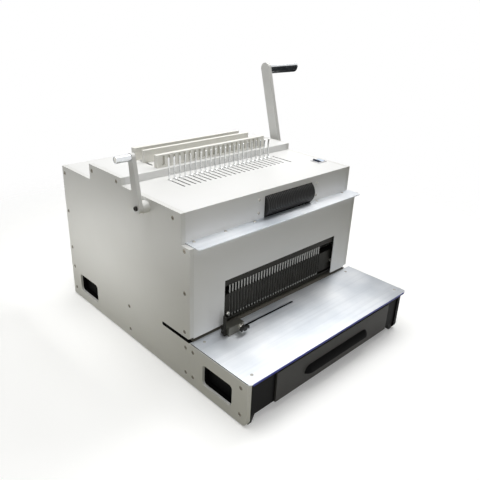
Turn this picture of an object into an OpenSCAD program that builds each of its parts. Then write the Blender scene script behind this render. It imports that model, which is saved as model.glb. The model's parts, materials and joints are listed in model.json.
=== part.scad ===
// Desk machine that punches sheets, opens plastic combs, closes wire loops
// and winds in coils. Millimetres. X runs to the right, the front is -Y,
// Z is up from the table that the feet stand on.

/* [Body] */
// Width across the outer faces of the side plates
body_w = 508; // [500:1:540]
// Thickness of the side plates
plate_t = 10; // [9:0.5:11]
// Height of the main top
main_h = 363; // [340:1:400]
// Rise of the rear block above the main top
riser_rise = 16; // [12:1:24]
// Drop of the rear deck below the main top
rear_drop = 19; // [12:1:26]
// Drop of the step that carries the front shelf, below the main top
step_drop = 62; // [57:0.5:68]
// Height of the paper gap between the table and the upper body
paper_gap = 6; // [5:0.5:10]
// Gap between the side plates and the surface the feet stand on
foot_drop = 2; // [1:0.5:4]

/* [Depths] */
// Depth of the low rear deck
rear_len = 133; // [128:1:150]
// Depth of the raised block
riser_len = 128; // [126:1:140]
// Depth of the main top
top_len = 197; // [194:1:215]
// Depth of the step under the front shelf
step_len = 25; // [22:1:30]
// Depth of the base in front of the upper body
table_len = 163; // [155:1:200]

/* [Sheets] */
// Thickness of the painted covers
sheet_t = 1.5; // [1:0.1:2]
// Clearance between pieces that are only fitted together
fit = 0.2; // [0.1:0.05:0.3]
// Radial clearance of a turning shaft
run = 0.05; // [0.03:0.01:0.1]

/* [Hand-holds and screws] */
// Width of a hand-hold
hold_w = 84; // [70:1:90]
// Height of a hand-hold
hold_h = 47; // [35:1:50]
// Corner radius of a hand-hold
hold_r = 8; // [4:1:12]
// Height of the hand-hold centres
hold_z = 48; // [44:1:52]
// Distance of the hand-holds from the back and from the front
hold_end = 82; // [70:1:90]
// Shank of the side screws
screw_d = 5; // [4:0.5:6]
// Head of the side screws
screw_head_d = 9; // [8:0.5:10]
// Depth of the side screw heads
screw_head_h = 4; // [3:0.5:5]

/* [Work table] */
// Height of the table face
table_h = 100; // [99:0.5:101]
// Thickness of the table and shelf sheets
table_t = 2; // [1.5:0.1:2.5]
// Overhang of the table past the front of the base
table_over = 4; // [2:1:8]
// Overhang of the table and the shelf past the right side plate
right_over = 14; // [0:1:20]
// Overhang of the shelf in front of the step
shelf_over = 14; // [8:1:20]
// Corner radius of the table and shelf
table_r = 8; // [4:1:15]
// Width of the guide slot
guide_slot_w = 6; // [4:0.1:8]
// Left end of the guide slot
guide_slot_x0 = -187; // [-195:1:-180]
// Right end of the guide slot
guide_slot_x1 = 22; // [10:1:100]
// Distance of the guide slot in front of the upper body
guide_slot_out = 24; // [20:1:40]

/* [Throat and punch] */
// Left edge of the throat opening
throat_x0 = -165; // [-200:1:-155]
// Right edge of the throat opening
throat_x1 = 190; // [155:1:200]
// Top of the throat opening
throat_top = 207; // [195:1:215]
// Number of punch pins
pin_n = 35; // [20:1:36]
// Spacing of the punch pins
pin_pitch = 8.467; // [7:0.001:8.467]
// Diameter of a punch pin
pin_d = 4; // [3:0.1:4.5]
// Middle of the pin row
punch_x = 2; // [-6:1:6]
// Punching stroke
punch_stroke = 14; // [12:0.5:15]
// Height of the block that guides the pins
block_h = 61; // [53:1:63]
// Height of the shaft that drives the punch
ecc_z = 250; // [248:1:252]
// Diameter of the drive shaft
ecc_shaft_d = 20; // [16:1:22]
// Diameter of the eccentrics
ecc_d = 44; // [40:1:46]

/* [Comb opener] */
// Middle of the hook row
hook_x = -4; // [-10:1:10]
// Number of hooks
hook_n = 22; // [10:1:22]
// Spacing of the hooks
hook_pitch = 14.2875; // [10:0.0125:14.2875]
// Height of the hooks above the main top
hook_h = 48; // [35:1:60]
// Thickness of a hook
hook_t = 2; // [1.5:0.1:2.4]
// Diameter of the opener shaft
comb_shaft_d = 12; // [10:1:12]
// Distance of the opener shaft in front of the raised block
comb_shaft_out = 90; // [88:1:94]
// Travel of the hooks
hook_travel = 41; // [30:1:41]
// Height of the bars on the raised block
bar_h = 28; // [20:1:35]

/* [Wire closer] */
// Diameter of the closer shaft
closer_shaft_d = 16; // [12:1:17]
// Travel of the moving jaw
jaw_travel = 14; // [8:1:16]
// Length of the jaws
jaw_len = 319; // [318:1:330]

/* [Levers] */
// Length of the left lever from pivot to grip
left_len = 97; // [80:1:120]
// Lean of the left lever to the back
left_lean = 8.3; // [0:0.1:20]
// Diameter of the left grip
left_grip_d = 14; // [13:0.5:18]
// Length of the left grip
left_grip_len = 31; // [25:1:60]
// Length of the right lever from pivot to grip
right_len = 239; // [180:1:260]
// Lean of the right lever to the back
right_lean = 15.6; // [0:0.1:25]
// Width of the right lever
right_w = 28; // [22:1:32]
// Diameter of the right grip
right_grip_d = 29; // [20:1:32]
// Length of the right grip
right_grip_len = 114; // [80:1:140]

/* [Coil roller] */
// Radius of the coil roller
roller_r = 27; // [25:0.5:27]
// Left end of the roller
roller_x0 = -36; // [-60:1:-20]
// Length of the roller
roller_len = 151; // [100:1:151]
// Number of ribs round the roller
roller_ribs = 29; // [10:1:29]

/* [Chip drawer] */
// Middle of the drawer
drawer_x = 12; // [-6:1:14]
// Width of the drawer front
drawer_w = 380; // [340:1:390]
// Lower edge of the drawer front and the front frame
drawer_z0 = 19; // [18:1:22]
// Upper edge of the drawer front
drawer_z1 = 87; // [82:1:88]
// Thickness of the drawer front
drawer_front_t = 4; // [3:0.5:5]
// Length of the drawer handle
handle_len = 221; // [120:1:250]

/* [Hidden] */
$fn = 48;
eps = 0.5;
// Depths are counted from the back face of the body
riser_back_d = rear_len;
riser_front_d = riser_back_d + riser_len;
top_front_d = riser_front_d + top_len;
body_d = top_front_d + step_len;
base_d = body_d + table_len;
riser_h = main_h + riser_rise;
rear_h = main_h - rear_drop;
step_h = main_h - step_drop;
base_h = table_h - table_t;
throat_h = table_h + paper_gap;
xo = body_w / 2;
xi = xo - plate_t;
xs = xi - fit;
seam_d = body_d - 2.5;
slit_len = 91;
base_gap = 0.4;
front_corner_r = 12;
body_corner_r = 6;
// Screws in the side plates, as distance from the back and height
screw_low = 22;
screw_high = base_h - 16;
beam_back_d = 13.5;
beam_mid_d = riser_front_d + 5;
splice_rear_d = body_d - 14;
splice_front_d = body_d + 8.5;
frame_screw_d = base_d - 18;
back_screws = [[10, 135], [10, rear_h - 112], [10, rear_h - 17]];
riser_screws = [[riser_back_d + 10, riser_h - 14], [riser_front_d - 19, riser_h - 12]];
top_screws = [[top_front_d - 25, main_h - 16]];
panel_screws = [[body_d - 16, step_h - 9], [body_d - 16, throat_top - 3]];
block_screws = [[body_d - 17, throat_h + 11]];
main_screws = concat(back_screws, riser_screws, top_screws, panel_screws, block_screws,
  [for (d = [beam_back_d, beam_mid_d, splice_rear_d], z = [screw_low, screw_high]) [d, z]]);
base_screws = [for (d = [splice_front_d, frame_screw_d], z = [screw_low, screw_high]) [d, z]];
screw_grip = 7;
nut_w = 12;
// Base
floor_z0 = 10;
floor_t = 1.5;
beam_top = 92;
splice_t = 8;
splice_half = 14;
splice_z0 = 12;
die_t = 11.5;
die_len = 37;
die_z0 = table_h - die_t;
rail_t = 2;
rail_z0 = drawer_z0 + 1;
rail_lip = 6;
rail_in = 10;
tray_side = 8;
tray_t = 1.2;
tray_z0 = rail_z0 + rail_t + 0.3;
tray_z1 = drawer_z1 - 7;
tray_len = 191;
frame_t = 2;
frame_front_d = base_d - 3;
frame_flange = 30;
drawer_gap = 0.3;
drawer_x0 = drawer_x - drawer_w / 2;
drawer_x1 = drawer_x + drawer_w / 2;
front_foot_top = 18;
front_foot_low = 9;
front_foot_len = 36;
rear_foot_d = 28;
rear_foot_in = 29;
rear_foot_out = 40;
// Drawer handle, part of a round shell
handle_r = 19;
handle_sink = 10.4;
handle_t = 3;
handle_z = 43.5;
// Punch
pin_row_d = body_d - 11;
pin_bore = pin_d + 0.2;
pin_seat = 14;
block_z0 = throat_h + 1;
guide_top = block_z0 + block_h;
block_back = 27;
block_back_d = body_d - block_back;
block_front_d = pin_row_d + 3;
block_slot_w = 2.4;
block_gap = [throat_h + 6, throat_h + 12];
pin_rest_z = block_z0 + 0.6;
bar_clear = 9;
bar_z0 = guide_top + punch_stroke + bar_clear;
punch_bar_h = 24;
bar_z1 = bar_z0 + punch_bar_h;
punch_bar_back = 65;
bar_back_d = body_d - punch_bar_back;
punch_bar_front = 4;
bar_front_d = body_d - punch_bar_front;
punch_bar_in = 18;
punch_bar_x = xi - punch_bar_in;
post_d = 14;
post_in = 30;
post_x = xi - post_in;
post_back = 15;
post_row_d = body_d - post_back;
ecc_back = 47;
ecc_d0 = body_d - ecc_back;
ecc_e = punch_stroke / 2;
ecc_slack = 1.9;
ecc_x = 150;
ecc_w = 14;
yoke_t = 12;
yoke_wall = 6;
bearing_t = 12;
bearing_half = 15;
gear_box_half = 24;
gear_box_w = 54;
worm_drop = 42;
worm_half = 27;
worm_back = 52;
worm_back_d = ecc_d0 - worm_back;
worm_front = 20;
worm_front_d = ecc_d0 - worm_front;
motor_d = 72;
motor_len = 120;
motor_neck = 6;
motor_lap = 4;
motor_cap = 12;
motor_step = 8;
// Toothed drives
tooth_m = 2;
sector_n = 24;
idler_n = 14;
sector_r = tooth_m * sector_n / 2;
idler_r = tooth_m * idler_n / 2;
tooth_add = 0.8 * tooth_m;
tooth_ded = 1.15 * tooth_m;
tooth_slack = 0.5;
press_a = 20;
// Comb opener
comb_d = riser_front_d + comb_shaft_out;
comb_z = main_h - 17;
idler_z = comb_z - sector_r - idler_r;
idler_shaft_d = 8;
rack_z = idler_z - idler_r;
hook_x0 = hook_x - (hook_n - 1) * hook_pitch / 2;
hook_d0 = riser_front_d + 25;
hook_stem = 3.5;
hook_foot = 14;
hook_fillet = 9;
hook_seat_z = main_h - 16;
slit_w = hook_t + 1.2;
end_slit_x = 166;
end_slit_w = 3.6;
end_slit_len = 63;
slit_back = 2;
carriage_h = 11;
carriage_over = 4;
arm_x = 178;
arm_t = 6;
gear_x = 187;
gear_w = 6;
rack_w = 7;
rack_h = 8;
rack_base_z = rack_z - tooth_ded - rack_h;
lug_x = 196;
lug_w = 14;
lug_len = 30;
lug_top = rack_base_z + 20;
rod_d = 8;
rod_x = lug_x + lug_w / 2;
rod_z = lug_top - 6;
tie_half = 6;
tie_z0 = rod_z - tie_half;
tie_z1 = rod_z + tie_half;
tie_t = 8;
lug_d0 = hook_d0 + hook_foot - 4;
comb_tie_d = [riser_front_d + 3, lug_d0 + lug_len + hook_travel + 5];
block_t = 8;
// Wire closer
closer_d = riser_back_d + 75.8;
closer_z = riser_h - 54;
pinion_r = idler_r;
closer_rack_z = closer_z - pinion_r;
jaw_back = 58;
jaw_t = 8.5;
jaw_d0 = riser_back_d + jaw_back;
jaw_d1 = jaw_d0 + jaw_t;
jaw_x0 = -156;
rear_jaw_back = 25;
rear_jaw_t = 12.5;
rear_jaw_d0 = riser_back_d + rear_jaw_back;
rear_jaw_d1 = rear_jaw_d0 + rear_jaw_t;
leg_t = 4;
leg_in = 3;
leg_back = 13;
leg_front = 3;
leg_back_d = jaw_d0 - leg_back;
leg_front_d = jaw_d0 + leg_front;
leg_top = riser_h - 5;
leg_base_z = closer_rack_z - tooth_ded - 10;
leg_cap = 6;
jaw_rack_out = 25;
jaw_lift = 0.3;
jaw_lug = 18;
jaw_lug_wall = 4;
jaw_rod_z = leg_base_z + jaw_lug_wall;
closer_tie_d = [riser_back_d + 5, riser_front_d - 17];
// Bars on the raised block
comb_bar_d0 = riser_front_d - 22;
comb_bar_d1 = comb_bar_d0 + 10;
comb_bar_x0 = -157;
comb_bar_x1 = 170;
groove_w = 7;
groove_deep = 5;
// Levers
left_hub_d = 25;
left_hub_w = 15;
left_arm_t = 8;
left_root_w = 22;
left_tip_w = 16;
left_bolt_d = 6;
lever_web = 3;
lever_head_d = 9.5;
lever_head_h = 4;
right_hub_d = 34;
right_hub_w = 15;
right_arm_t = 10;
right_bolt_d = 10;
bush_wall = 4;
grip_gap = 0.4;
// Coil roller
roller_d0 = top_front_d - 15.5;
roller_z = step_h + 25.5;
roller_shaft_d = 10;
roller_cut_top = roller_z + 23.5;
roller_play = 1;
rib_deep = 1.5;
bracket_t = 4;
bracket_x0 = roller_x0 - 14;
bracket_x1 = roller_x0 + roller_len + 10;
bracket_foot = 12;
roller_motor_d = 37;
roller_motor_off = 7;
roller_motor_len = 66;
roller_drive = 10;
// Rocker switch
switch_x = xi - 18;
switch_d = top_front_d - 73;
switch_w = 30;
switch_l = 27;
rocker_w = 24;
rocker_l = 20;
rocker_tilt = 8;
rocker_pin_d = 4;
rocker_pin_drop = 4;
rocker_end = 8.5;
rocker_dip = 3;
rocker_side = 1.4;
rocker_gap = 0.6;
bezel_wall = 2;
switch_cut = rocker_gap + bezel_wall + fit;
// Back of the machine
vent_n = 10;
vent_pitch = 10;
vent_x = 60;
vent_w = 4;
vent_h = 50;
vent_drop = 44;
inlet_x = 170;
inlet_z = 116;
inlet_w = 28;
inlet_h = 48;
inlet_rim = 5;
inlet_deep = 22;
plug_w = 24;
plug_h = 17;
// Paper guide
guide_x = -150;
guide_z = table_h + 13;
guide_d = body_d + guide_slot_out;
guide_play = 0.3;
fence_x = guide_x - 36;
fence_t = 3;
fence_h = 44;
fence_back = 4;
fence_front = 3;
slide_left = 31;
slide_right = 10;
slide_back = 11;
slide_front = 9;
slide_top = 6;
clip_half = 8;
clip_t = 4;
stud_d = 6;
stud_len = 4;
knob_hub_d = 12;
knob_hub_len = 9;
wing_half = 12;
wing_h = 7;
wing_t = 7;
// The origin lies under the middle of the whole outline, levers included
inlet_lip = 2;
left_end = -xo - fit - left_hub_w - left_arm_t - grip_gap - left_grip_len;
right_end = xo + fit + right_hub_w + right_arm_t + grip_gap + right_grip_len;
handle_d = frame_front_d + drawer_gap + drawer_front_t - handle_sink;
mid_x = (left_end + right_end) / 2;
mid_d = (handle_d + handle_r - inlet_lip) / 2;

function yd(d) = base_d / 2 - d;
function flank(r, rb) = sqrt(max(0, r * r / (rb * rb) - 1)) * 180 / PI;
function inv_a(a) = a - atan(a * PI / 180);
function polar(r, a) = [r * cos(a), r * sin(a)];

// Box between two X values, two depths and two heights
module box(x, d, z) {
  translate([x[0], yd(d[1]), z[0]])
    cube([x[1] - x[0], d[1] - d[0], z[1] - z[0]]);
}

// Plate cut from a side outline
module slab(x) {
  translate([x[0], 0, 0])
    rotate([90, 0, 90])
      linear_extrude(x[1] - x[0])
        children();
}

module rod_x(x, d, z, dia) {
  translate([x[0], yd(d), z])
    rotate([0, 90, 0])
      cylinder(d = dia, h = x[1] - x[0]);
}

module rod_y(x, d, z, dia) {
  translate([x, yd(d[0]), z])
    rotate([90, 0, 0])
      cylinder(d = dia, h = d[1] - d[0]);
}

module rod_z(x, d, z, dia) {
  translate([x, yd(d), z[0]])
    cylinder(d = dia, h = z[1] - z[0]);
}

module both_sides() {
  children();
  mirror([1, 0, 0])
    children();
}

module round_window(w, h, r) {
  square([w - 2 * r, h], center = true);
  square([w, h - 2 * r], center = true);
  for (x = [-1, 1], y = [-1, 1])
    translate([x * (w / 2 - r), y * (h / 2 - r)])
      circle(r);
}

// Rounded corner to be cut away, with the corner at the origin
module corner_cut(r) {
  difference() {
    translate([-1, -1])
      square(r + 1);
    translate([r, r])
      circle(r);
  }
}

module screw_holes(list) {
  for (s = list)
    both_sides() {
      rod_x([xi - 1, xo + 1], s[0], s[1], screw_d + fit);
      rod_x([xo - screw_head_h - fit, xo + 1], s[0], s[1], screw_head_d + 2 * fit);
    }
}

module tapped(list) {
  for (s = list)
    both_sides()
      rod_x([xi - screw_grip - 1, xi + 1], s[0], s[1], screw_d + fit);
}

module nut_blocks(list) {
  for (s = list)
    both_sides()
      box([xs - nut_w, xs], [s[0] - nut_w / 2, s[0] + nut_w / 2], [s[1] - nut_w / 2, s[1] + nut_w / 2]);
}

// Gear teeth between two tooth numbers, tooth 0 pointing down
module gear(n, first, last) {
  r = tooth_m * n / 2;
  rb = r * cos(press_a);
  rf = r - tooth_ded;
  ra = r + tooth_add;
  low = max(rb, rf);
  half = 90 / n - tooth_slack / 2 / r * 90 / PI + inv_a(flank(r, rb));
  radii = [for (i = [0:4]) low + (ra - low) * i / 4];
  for (k = [first:last]) {
    a = -90 + k * 360 / n;
    polygon(concat([polar(rf - 1, a - half)],
      [for (q = radii) polar(q, a - half + inv_a(flank(q, rb)))],
      [for (i = [4:-1:0]) polar(radii[i], a + half - inv_a(flank(radii[i], rb)))],
      [polar(rf - 1, a + half)]));
  }
}

// Straight rack teeth in the side outline, tooth 0 at the origin
module rack(first, last) {
  p = PI * tooth_m;
  w = p / 4 - tooth_slack / 4;
  for (k = [first:last])
    polygon([[k * p - w - tooth_ded * tan(press_a), -tooth_ded - eps],
      [k * p - w + tooth_add * tan(press_a), tooth_add],
      [k * p + w - tooth_add * tan(press_a), tooth_add],
      [k * p + w + tooth_ded * tan(press_a), -tooth_ded - eps]]);
}

module side_outline() {
  slit_r = (throat_h - base_h) / 2;
  difference() {
    polygon([[yd(0), foot_drop], [yd(0), rear_h], [yd(riser_back_d), rear_h], [yd(riser_back_d), riser_h],
      [yd(riser_front_d), riser_h], [yd(riser_front_d), main_h], [yd(top_front_d), main_h],
      [yd(top_front_d), step_h], [yd(body_d), step_h], [yd(body_d), foot_drop]]);
    translate([yd(body_d) - 1, base_h])
      square([slit_len + 1 - slit_r, 2 * slit_r]);
    translate([yd(body_d) + slit_len - slit_r, base_h + slit_r])
      circle(slit_r);
    translate([yd(body_d) - 1, foot_drop - 1])
      square([body_d - seam_d + 1, base_h - foot_drop + 2]);
    translate([yd(body_d), throat_h])
      corner_cut(body_corner_r);
    translate([yd(hold_end), hold_z])
      round_window(hold_w, hold_h, hold_r);
  }
}

module base_outline() {
  difference() {
    translate([yd(base_d), foot_drop])
      square([base_d - seam_d - base_gap, base_h - foot_drop]);
    translate([yd(base_d), foot_drop])
      corner_cut(front_corner_r);
    translate([yd(base_d - hold_end), hold_z])
      round_window(hold_w, hold_h, hold_r);
  }
}

module left_side_plate() {
  color("gainsboro")
    difference() {
      slab([-xo, -xi])
        side_outline();
      screw_holes(main_screws);
      rod_x([-xo - 1, -xi + 1], comb_d, comb_z, comb_shaft_d + 2 * bush_wall);
    }
}

module right_side_plate() {
  color("gainsboro")
    difference() {
      slab([xi, xo])
        side_outline();
      screw_holes(main_screws);
      rod_x([xi - 1, xo + 1], closer_d, closer_z, closer_shaft_d + 2 * bush_wall);
    }
}

module left_base_plate() {
  color("gainsboro")
    difference() {
      slab([-xo, -xi])
        base_outline();
      screw_holes(base_screws);
    }
}

module right_base_plate() {
  color("gainsboro")
    difference() {
      slab([xi, xo])
        base_outline();
      screw_holes(base_screws);
    }
}

module splice_bars() {
  color("dimgray")
    difference() {
      both_sides()
        box([xi - splice_t, xi], [splice_rear_d - splice_half, splice_front_d + splice_half],
          [splice_z0, die_z0]);
      tapped(concat(main_screws, base_screws));
    }
}

module cross_beam(d, t) {
  color("dimgray")
    difference() {
      box([-xi, xi], [d - t / 2, d + t / 2], [floor_z0 + floor_t, beam_top]);
      tapped(main_screws);
    }
}

module rear_cross_beam() {
  cross_beam(beam_back_d, 9);
}

module middle_cross_beam() {
  cross_beam(beam_mid_d, 10);
}

module bottom_plate() {
  color("dimgray")
    box([-xs, xs], [2, splice_rear_d - splice_half - fit], [floor_z0, floor_z0 + floor_t]);
}

module rubber_feet() {
  color("black")
    both_sides() {
      rod_z(xi - rear_foot_in, rear_foot_out, [0, floor_z0], rear_foot_d);
      translate([0, yd(frame_front_d - frame_t), 0])
        rotate([90, 0, 180])
          linear_extrude(front_foot_len)
            polygon([[-xs, 0], [-xs, drawer_z0], [-xs + front_foot_top, drawer_z0],
              [-xs + front_foot_low, 0]]);
    }
}

// Folded sheet: the top with its slits and the upper front with the roller opening
module top_cover() {
  color("whitesmoke")
    difference() {
      union() {
        box([-xs, xs], [riser_front_d + fit, top_front_d], [main_h - sheet_t, main_h]);
        box([-xs, xs], [top_front_d - sheet_t, top_front_d], [step_h + table_t, main_h]);
        nut_blocks(top_screws);
        for (s = top_screws)
          both_sides()
            box([xs - nut_w, xs], [s[0] - nut_w / 2, s[0] + nut_w / 2], [s[1], main_h - sheet_t / 2]);
      }
      tapped(top_screws);
      for (i = [0:hook_n - 1])
        box([hook_x0 + i * hook_pitch - slit_w / 2, hook_x0 + i * hook_pitch + slit_w / 2],
          [hook_d0 - slit_back, hook_d0 + hook_foot + hook_travel + 1], [main_h - 5, main_h + 1]);
      box([end_slit_x - end_slit_w / 2, end_slit_x + end_slit_w / 2], [hook_d0, hook_d0 + end_slit_len],
        [main_h - 5, main_h + 1]);
      box([switch_x - rocker_w / 2 - switch_cut, switch_x + rocker_w / 2 + switch_cut],
        [switch_d - rocker_l / 2 - switch_cut, switch_d + rocker_l / 2 + switch_cut],
          [main_h - 5, main_h + 1]);
      box([roller_x0 - roller_play, roller_x0 + roller_len + roller_play],
        [top_front_d - 5, top_front_d + 1], [step_h, roller_cut_top]);
    }
}

module riser_cover() {
  slot_w = leg_t + 1;
  color("whitesmoke")
    difference() {
      union() {
        box([-xs, xs], [riser_back_d + fit, riser_front_d], [riser_h - sheet_t, riser_h]);
        box([-xs, xs], [riser_back_d + fit, riser_back_d + fit + sheet_t], [rear_h - 8, riser_h]);
        box([-xs, xs], [riser_front_d - sheet_t, riser_front_d], [main_h - 11, riser_h]);
        for (s = riser_screws)
          both_sides()
            box([xs - nut_w, xs], [s[0] - nut_w / 2, s[0] + nut_w / 2],
              [s[1] - nut_w / 2, riser_h - sheet_t / 2]);
      }
      tapped(riser_screws);
      for (x = [jaw_x0 + leg_in, jaw_x0 + jaw_len - leg_in - leg_t])
        box([x - 0.5, x - 0.5 + slot_w], [jaw_d0 - jaw_travel - 2, jaw_d1 + 24],
          [riser_h - 5, riser_h + 1]);
    }
}

// Folded sheet: the rear deck and the back with its vents and power inlet
module rear_cover() {
  color("whitesmoke")
    difference() {
      union() {
        box([-xs, xs], [0, riser_back_d], [rear_h - sheet_t, rear_h]);
        box([-xs, xs], [0, sheet_t], [floor_z0 + 4, rear_h]);
        for (s = back_screws)
          both_sides()
            box([xs - nut_w, xs], [sheet_t / 2, s[0] + nut_w / 2], [s[1] - nut_w / 2, s[1] + nut_w / 2]);
      }
      tapped(back_screws);
      for (i = [0:vent_n - 1])
        both_sides()
          box([vent_x + i * vent_pitch - vent_w / 2, vent_x + i * vent_pitch + vent_w / 2],
            [-1, sheet_t + 1],
            [rear_h - vent_drop - vent_h, rear_h - vent_drop]);
      box([inlet_x - inlet_w / 2, inlet_x + inlet_w / 2], [-1, sheet_t + 1],
        [inlet_z - inlet_h / 2, inlet_z + inlet_h / 2]);
    }
}

module power_inlet() {
  color("black")
    difference() {
      union() {
        box([inlet_x - inlet_w / 2 - inlet_rim, inlet_x + inlet_w / 2 + inlet_rim], [-inlet_lip, 0],
          [inlet_z - inlet_h / 2 - inlet_rim, inlet_z + inlet_h / 2 + inlet_rim]);
        box([inlet_x - inlet_w / 2 + fit, inlet_x + inlet_w / 2 - fit], [-1, inlet_deep],
          [inlet_z - inlet_h / 2 + fit, inlet_z + inlet_h / 2 - fit]);
      }
      box([inlet_x - plug_w / 2, inlet_x + plug_w / 2], [-3, inlet_deep - 4],
        [inlet_z - plug_h / 2, inlet_z + plug_h / 2]);
    }
}

module lower_front_panel() {
  flange_z0 = throat_top - 15;
  color("whitesmoke")
    difference() {
      union() {
        box([-xs, xs], [body_d - sheet_t, body_d], [throat_h, step_h]);
        box([-xs, xs], [top_front_d + 2, body_d], [step_h - sheet_t, step_h]);
        both_sides()
          box([xs - sheet_t, xs], [top_front_d + 2, body_d], [flange_z0, step_h]);
        nut_blocks(panel_screws);
      }
      tapped(panel_screws);
      box([throat_x0, throat_x1], [body_d - 5, body_d + 1], [throat_h - 1, throat_top]);
    }
}

// Sheet with two rounded front corners, from its back depth to its front depth
module rounded_sheet(x, d, z) {
  linear_z = z[1] - z[0];
  translate([0, 0, z[0]])
    linear_extrude(linear_z)
      difference() {
        translate([x[0], yd(d[1])])
          square([x[1] - x[0], d[1] - d[0]]);
        translate([x[0], yd(d[1])])
          corner_cut(table_r);
        translate([x[1], yd(d[1])])
          mirror([1, 0])
            corner_cut(table_r);
      }
}

module front_shelf() {
  color("silver")
    difference() {
      rounded_sheet([-xi + 0.5, xo + right_over - 10], [top_front_d - 2, body_d + shelf_over],
        [step_h, step_h + table_t]);
      box([xs, xo + right_over + 1], [top_front_d - 5, top_front_d + fit],
        [step_h - 1, step_h + table_t + 1]);
      box([roller_x0 - roller_play, roller_x0 + roller_len + roller_play],
        [top_front_d - 5, top_front_d + 1], [step_h - 1, step_h + table_t + 1]);
    }
}

module table_plate() {
  w = guide_slot_w;
  color("silver")
    difference() {
      rounded_sheet([-xo + 1, xo + right_over], [body_d + 1, base_d + table_over], [base_h, table_h]);
      box([guide_slot_x0, guide_slot_x1], [guide_d - w / 2, guide_d + w / 2], [base_h - 1, table_h + 1]);
    }
}

// Black frame round the drawer, with a flange on each base plate
module front_frame() {
  in = 2;
  color("black")
    difference() {
      union() {
        box([-xs, xs], [frame_front_d - frame_t, frame_front_d], [drawer_z0, base_h]);
        both_sides()
          box([xi - splice_t, xi], [frame_front_d - frame_flange, frame_front_d], [drawer_z0, base_h]);
      }
      tapped(base_screws);
      box([drawer_x0 + in, drawer_x1 - in], [frame_front_d - 5, frame_front_d + 1],
        [drawer_z0 - 1, drawer_z1]);
    }
}

module drawer_runners() {
  edge = xi - splice_t;
  x_left = drawer_x0 + tray_side + rail_in;
  x_right = drawer_x1 - tray_side - rail_in;
  color("gray")
    for (s = [[-edge, x_left, -edge, -edge + rail_t], [x_right, edge, edge - rail_t, edge]]) {
      union() {
        box([s[0], s[1]], [splice_rear_d - 10, frame_front_d - 8], [rail_z0, rail_z0 + rail_t]);
        box([s[2], s[3]], [splice_rear_d - 10, frame_front_d - 8], [rail_z0, rail_z0 + rail_lip]);
      }
    }
}

module side_screws() {
  color("dimgray")
    for (s = concat(main_screws, base_screws))
      both_sides() {
        rod_x([xi - screw_grip, xo - fit], s[0], s[1], screw_d);
        rod_x([xo - screw_head_h, xo - fit], s[0], s[1], screw_head_d);
      }
}

// Bar with a groove behind every hook but the first
module comb_bar() {
  color("ivory")
    difference() {
      box([comb_bar_x0, comb_bar_x1], [comb_bar_d0, comb_bar_d1], [riser_h, riser_h + bar_h]);
      for (i = [1:hook_n - 1])
        box([hook_x0 + i * hook_pitch - groove_w / 2, hook_x0 + i * hook_pitch + groove_w / 2],
          [comb_bar_d1 - groove_deep, comb_bar_d1 + 1], [riser_h + 5, riser_h + bar_h - 3]);
    }
}

module rear_jaw() {
  color("ivory")
    box([jaw_x0 - 5, jaw_x0 + jaw_len - 6], [rear_jaw_d0, rear_jaw_d1], [riser_h, riser_h + bar_h]);
}

// Cross bars that hold the guide rods, and two short blocks at their front ends
module tie_bars() {
  color("dimgray")
    difference() {
      union() {
        box([-xi, xi], [comb_tie_d[0], comb_tie_d[0] + tie_t], [tie_z0, tie_z1]);
        both_sides()
          box([lug_x, xi], [comb_tie_d[1], comb_tie_d[1] + tie_t], [tie_z0, tie_z1]);
        for (d = closer_tie_d)
          box([-xi, xi], [d, d + tie_t], [jaw_rod_z - tie_half, jaw_rod_z + tie_half]);
      }
      both_sides()
        rod_y(rod_x, [comb_tie_d[0] - 1, comb_tie_d[1] + tie_t + 1], rod_z, rod_d + fit);
      for (x = [jaw_x0 + leg_in - jaw_lug / 2, jaw_x0 + jaw_len - leg_in + jaw_lug / 2])
        rod_y(x, [closer_tie_d[0] - 1, closer_tie_d[1] + tie_t + 1], jaw_rod_z, rod_d + fit);
    }
}

module guide_rods() {
  color("silver") {
    both_sides()
      rod_y(rod_x, [comb_tie_d[0], comb_tie_d[1] + tie_t], rod_z, rod_d);
    for (x = [jaw_x0 + leg_in - jaw_lug / 2, jaw_x0 + jaw_len - leg_in + jaw_lug / 2])
      rod_y(x, [closer_tie_d[0], closer_tie_d[1] + tie_t], jaw_rod_z, rod_d);
  }
}

module shaft_bearings() {
  color("darkgoldenrod")
    difference() {
      union() {
        rod_x([-xo, -xi], comb_d, comb_z, comb_shaft_d + 2 * bush_wall - fit);
        rod_x([xi, xo], closer_d, closer_z, closer_shaft_d + 2 * bush_wall - fit);
        both_sides() {
          box([xi - block_t, xi], [comb_d - 15, comb_d + 15], [idler_z - 11, comb_z + 12]);
          box([xi - bearing_t, xi], [ecc_d0 - bearing_half, ecc_d0 + bearing_half],
            [ecc_z - bearing_half, ecc_z + bearing_half]);
        }
        box([-xi, -xi + block_t], [closer_d - 14, closer_d + 14], [closer_z - 14, closer_z + 14]);
        box([xi - block_t, xi], [closer_d - 18, closer_d + 18], [closer_z - 18, closer_z + 18]);
      }
      rod_x([-xo - 1, xo + 1], comb_d, comb_z, comb_shaft_d + 2 * run);
      rod_x([-xo - 1, xo + 1], comb_d, idler_z, idler_shaft_d + 2 * run);
      rod_x([-xo - 1, xo + 1], ecc_d0, ecc_z, ecc_shaft_d + 2 * run);
      rod_x([-xo - 1, xo + 1], closer_d, closer_z, closer_shaft_d + 2 * run);
    }
}

function pin_x(i) = punch_x + (i - (pin_n - 1) / 2) * pin_pitch;

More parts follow.
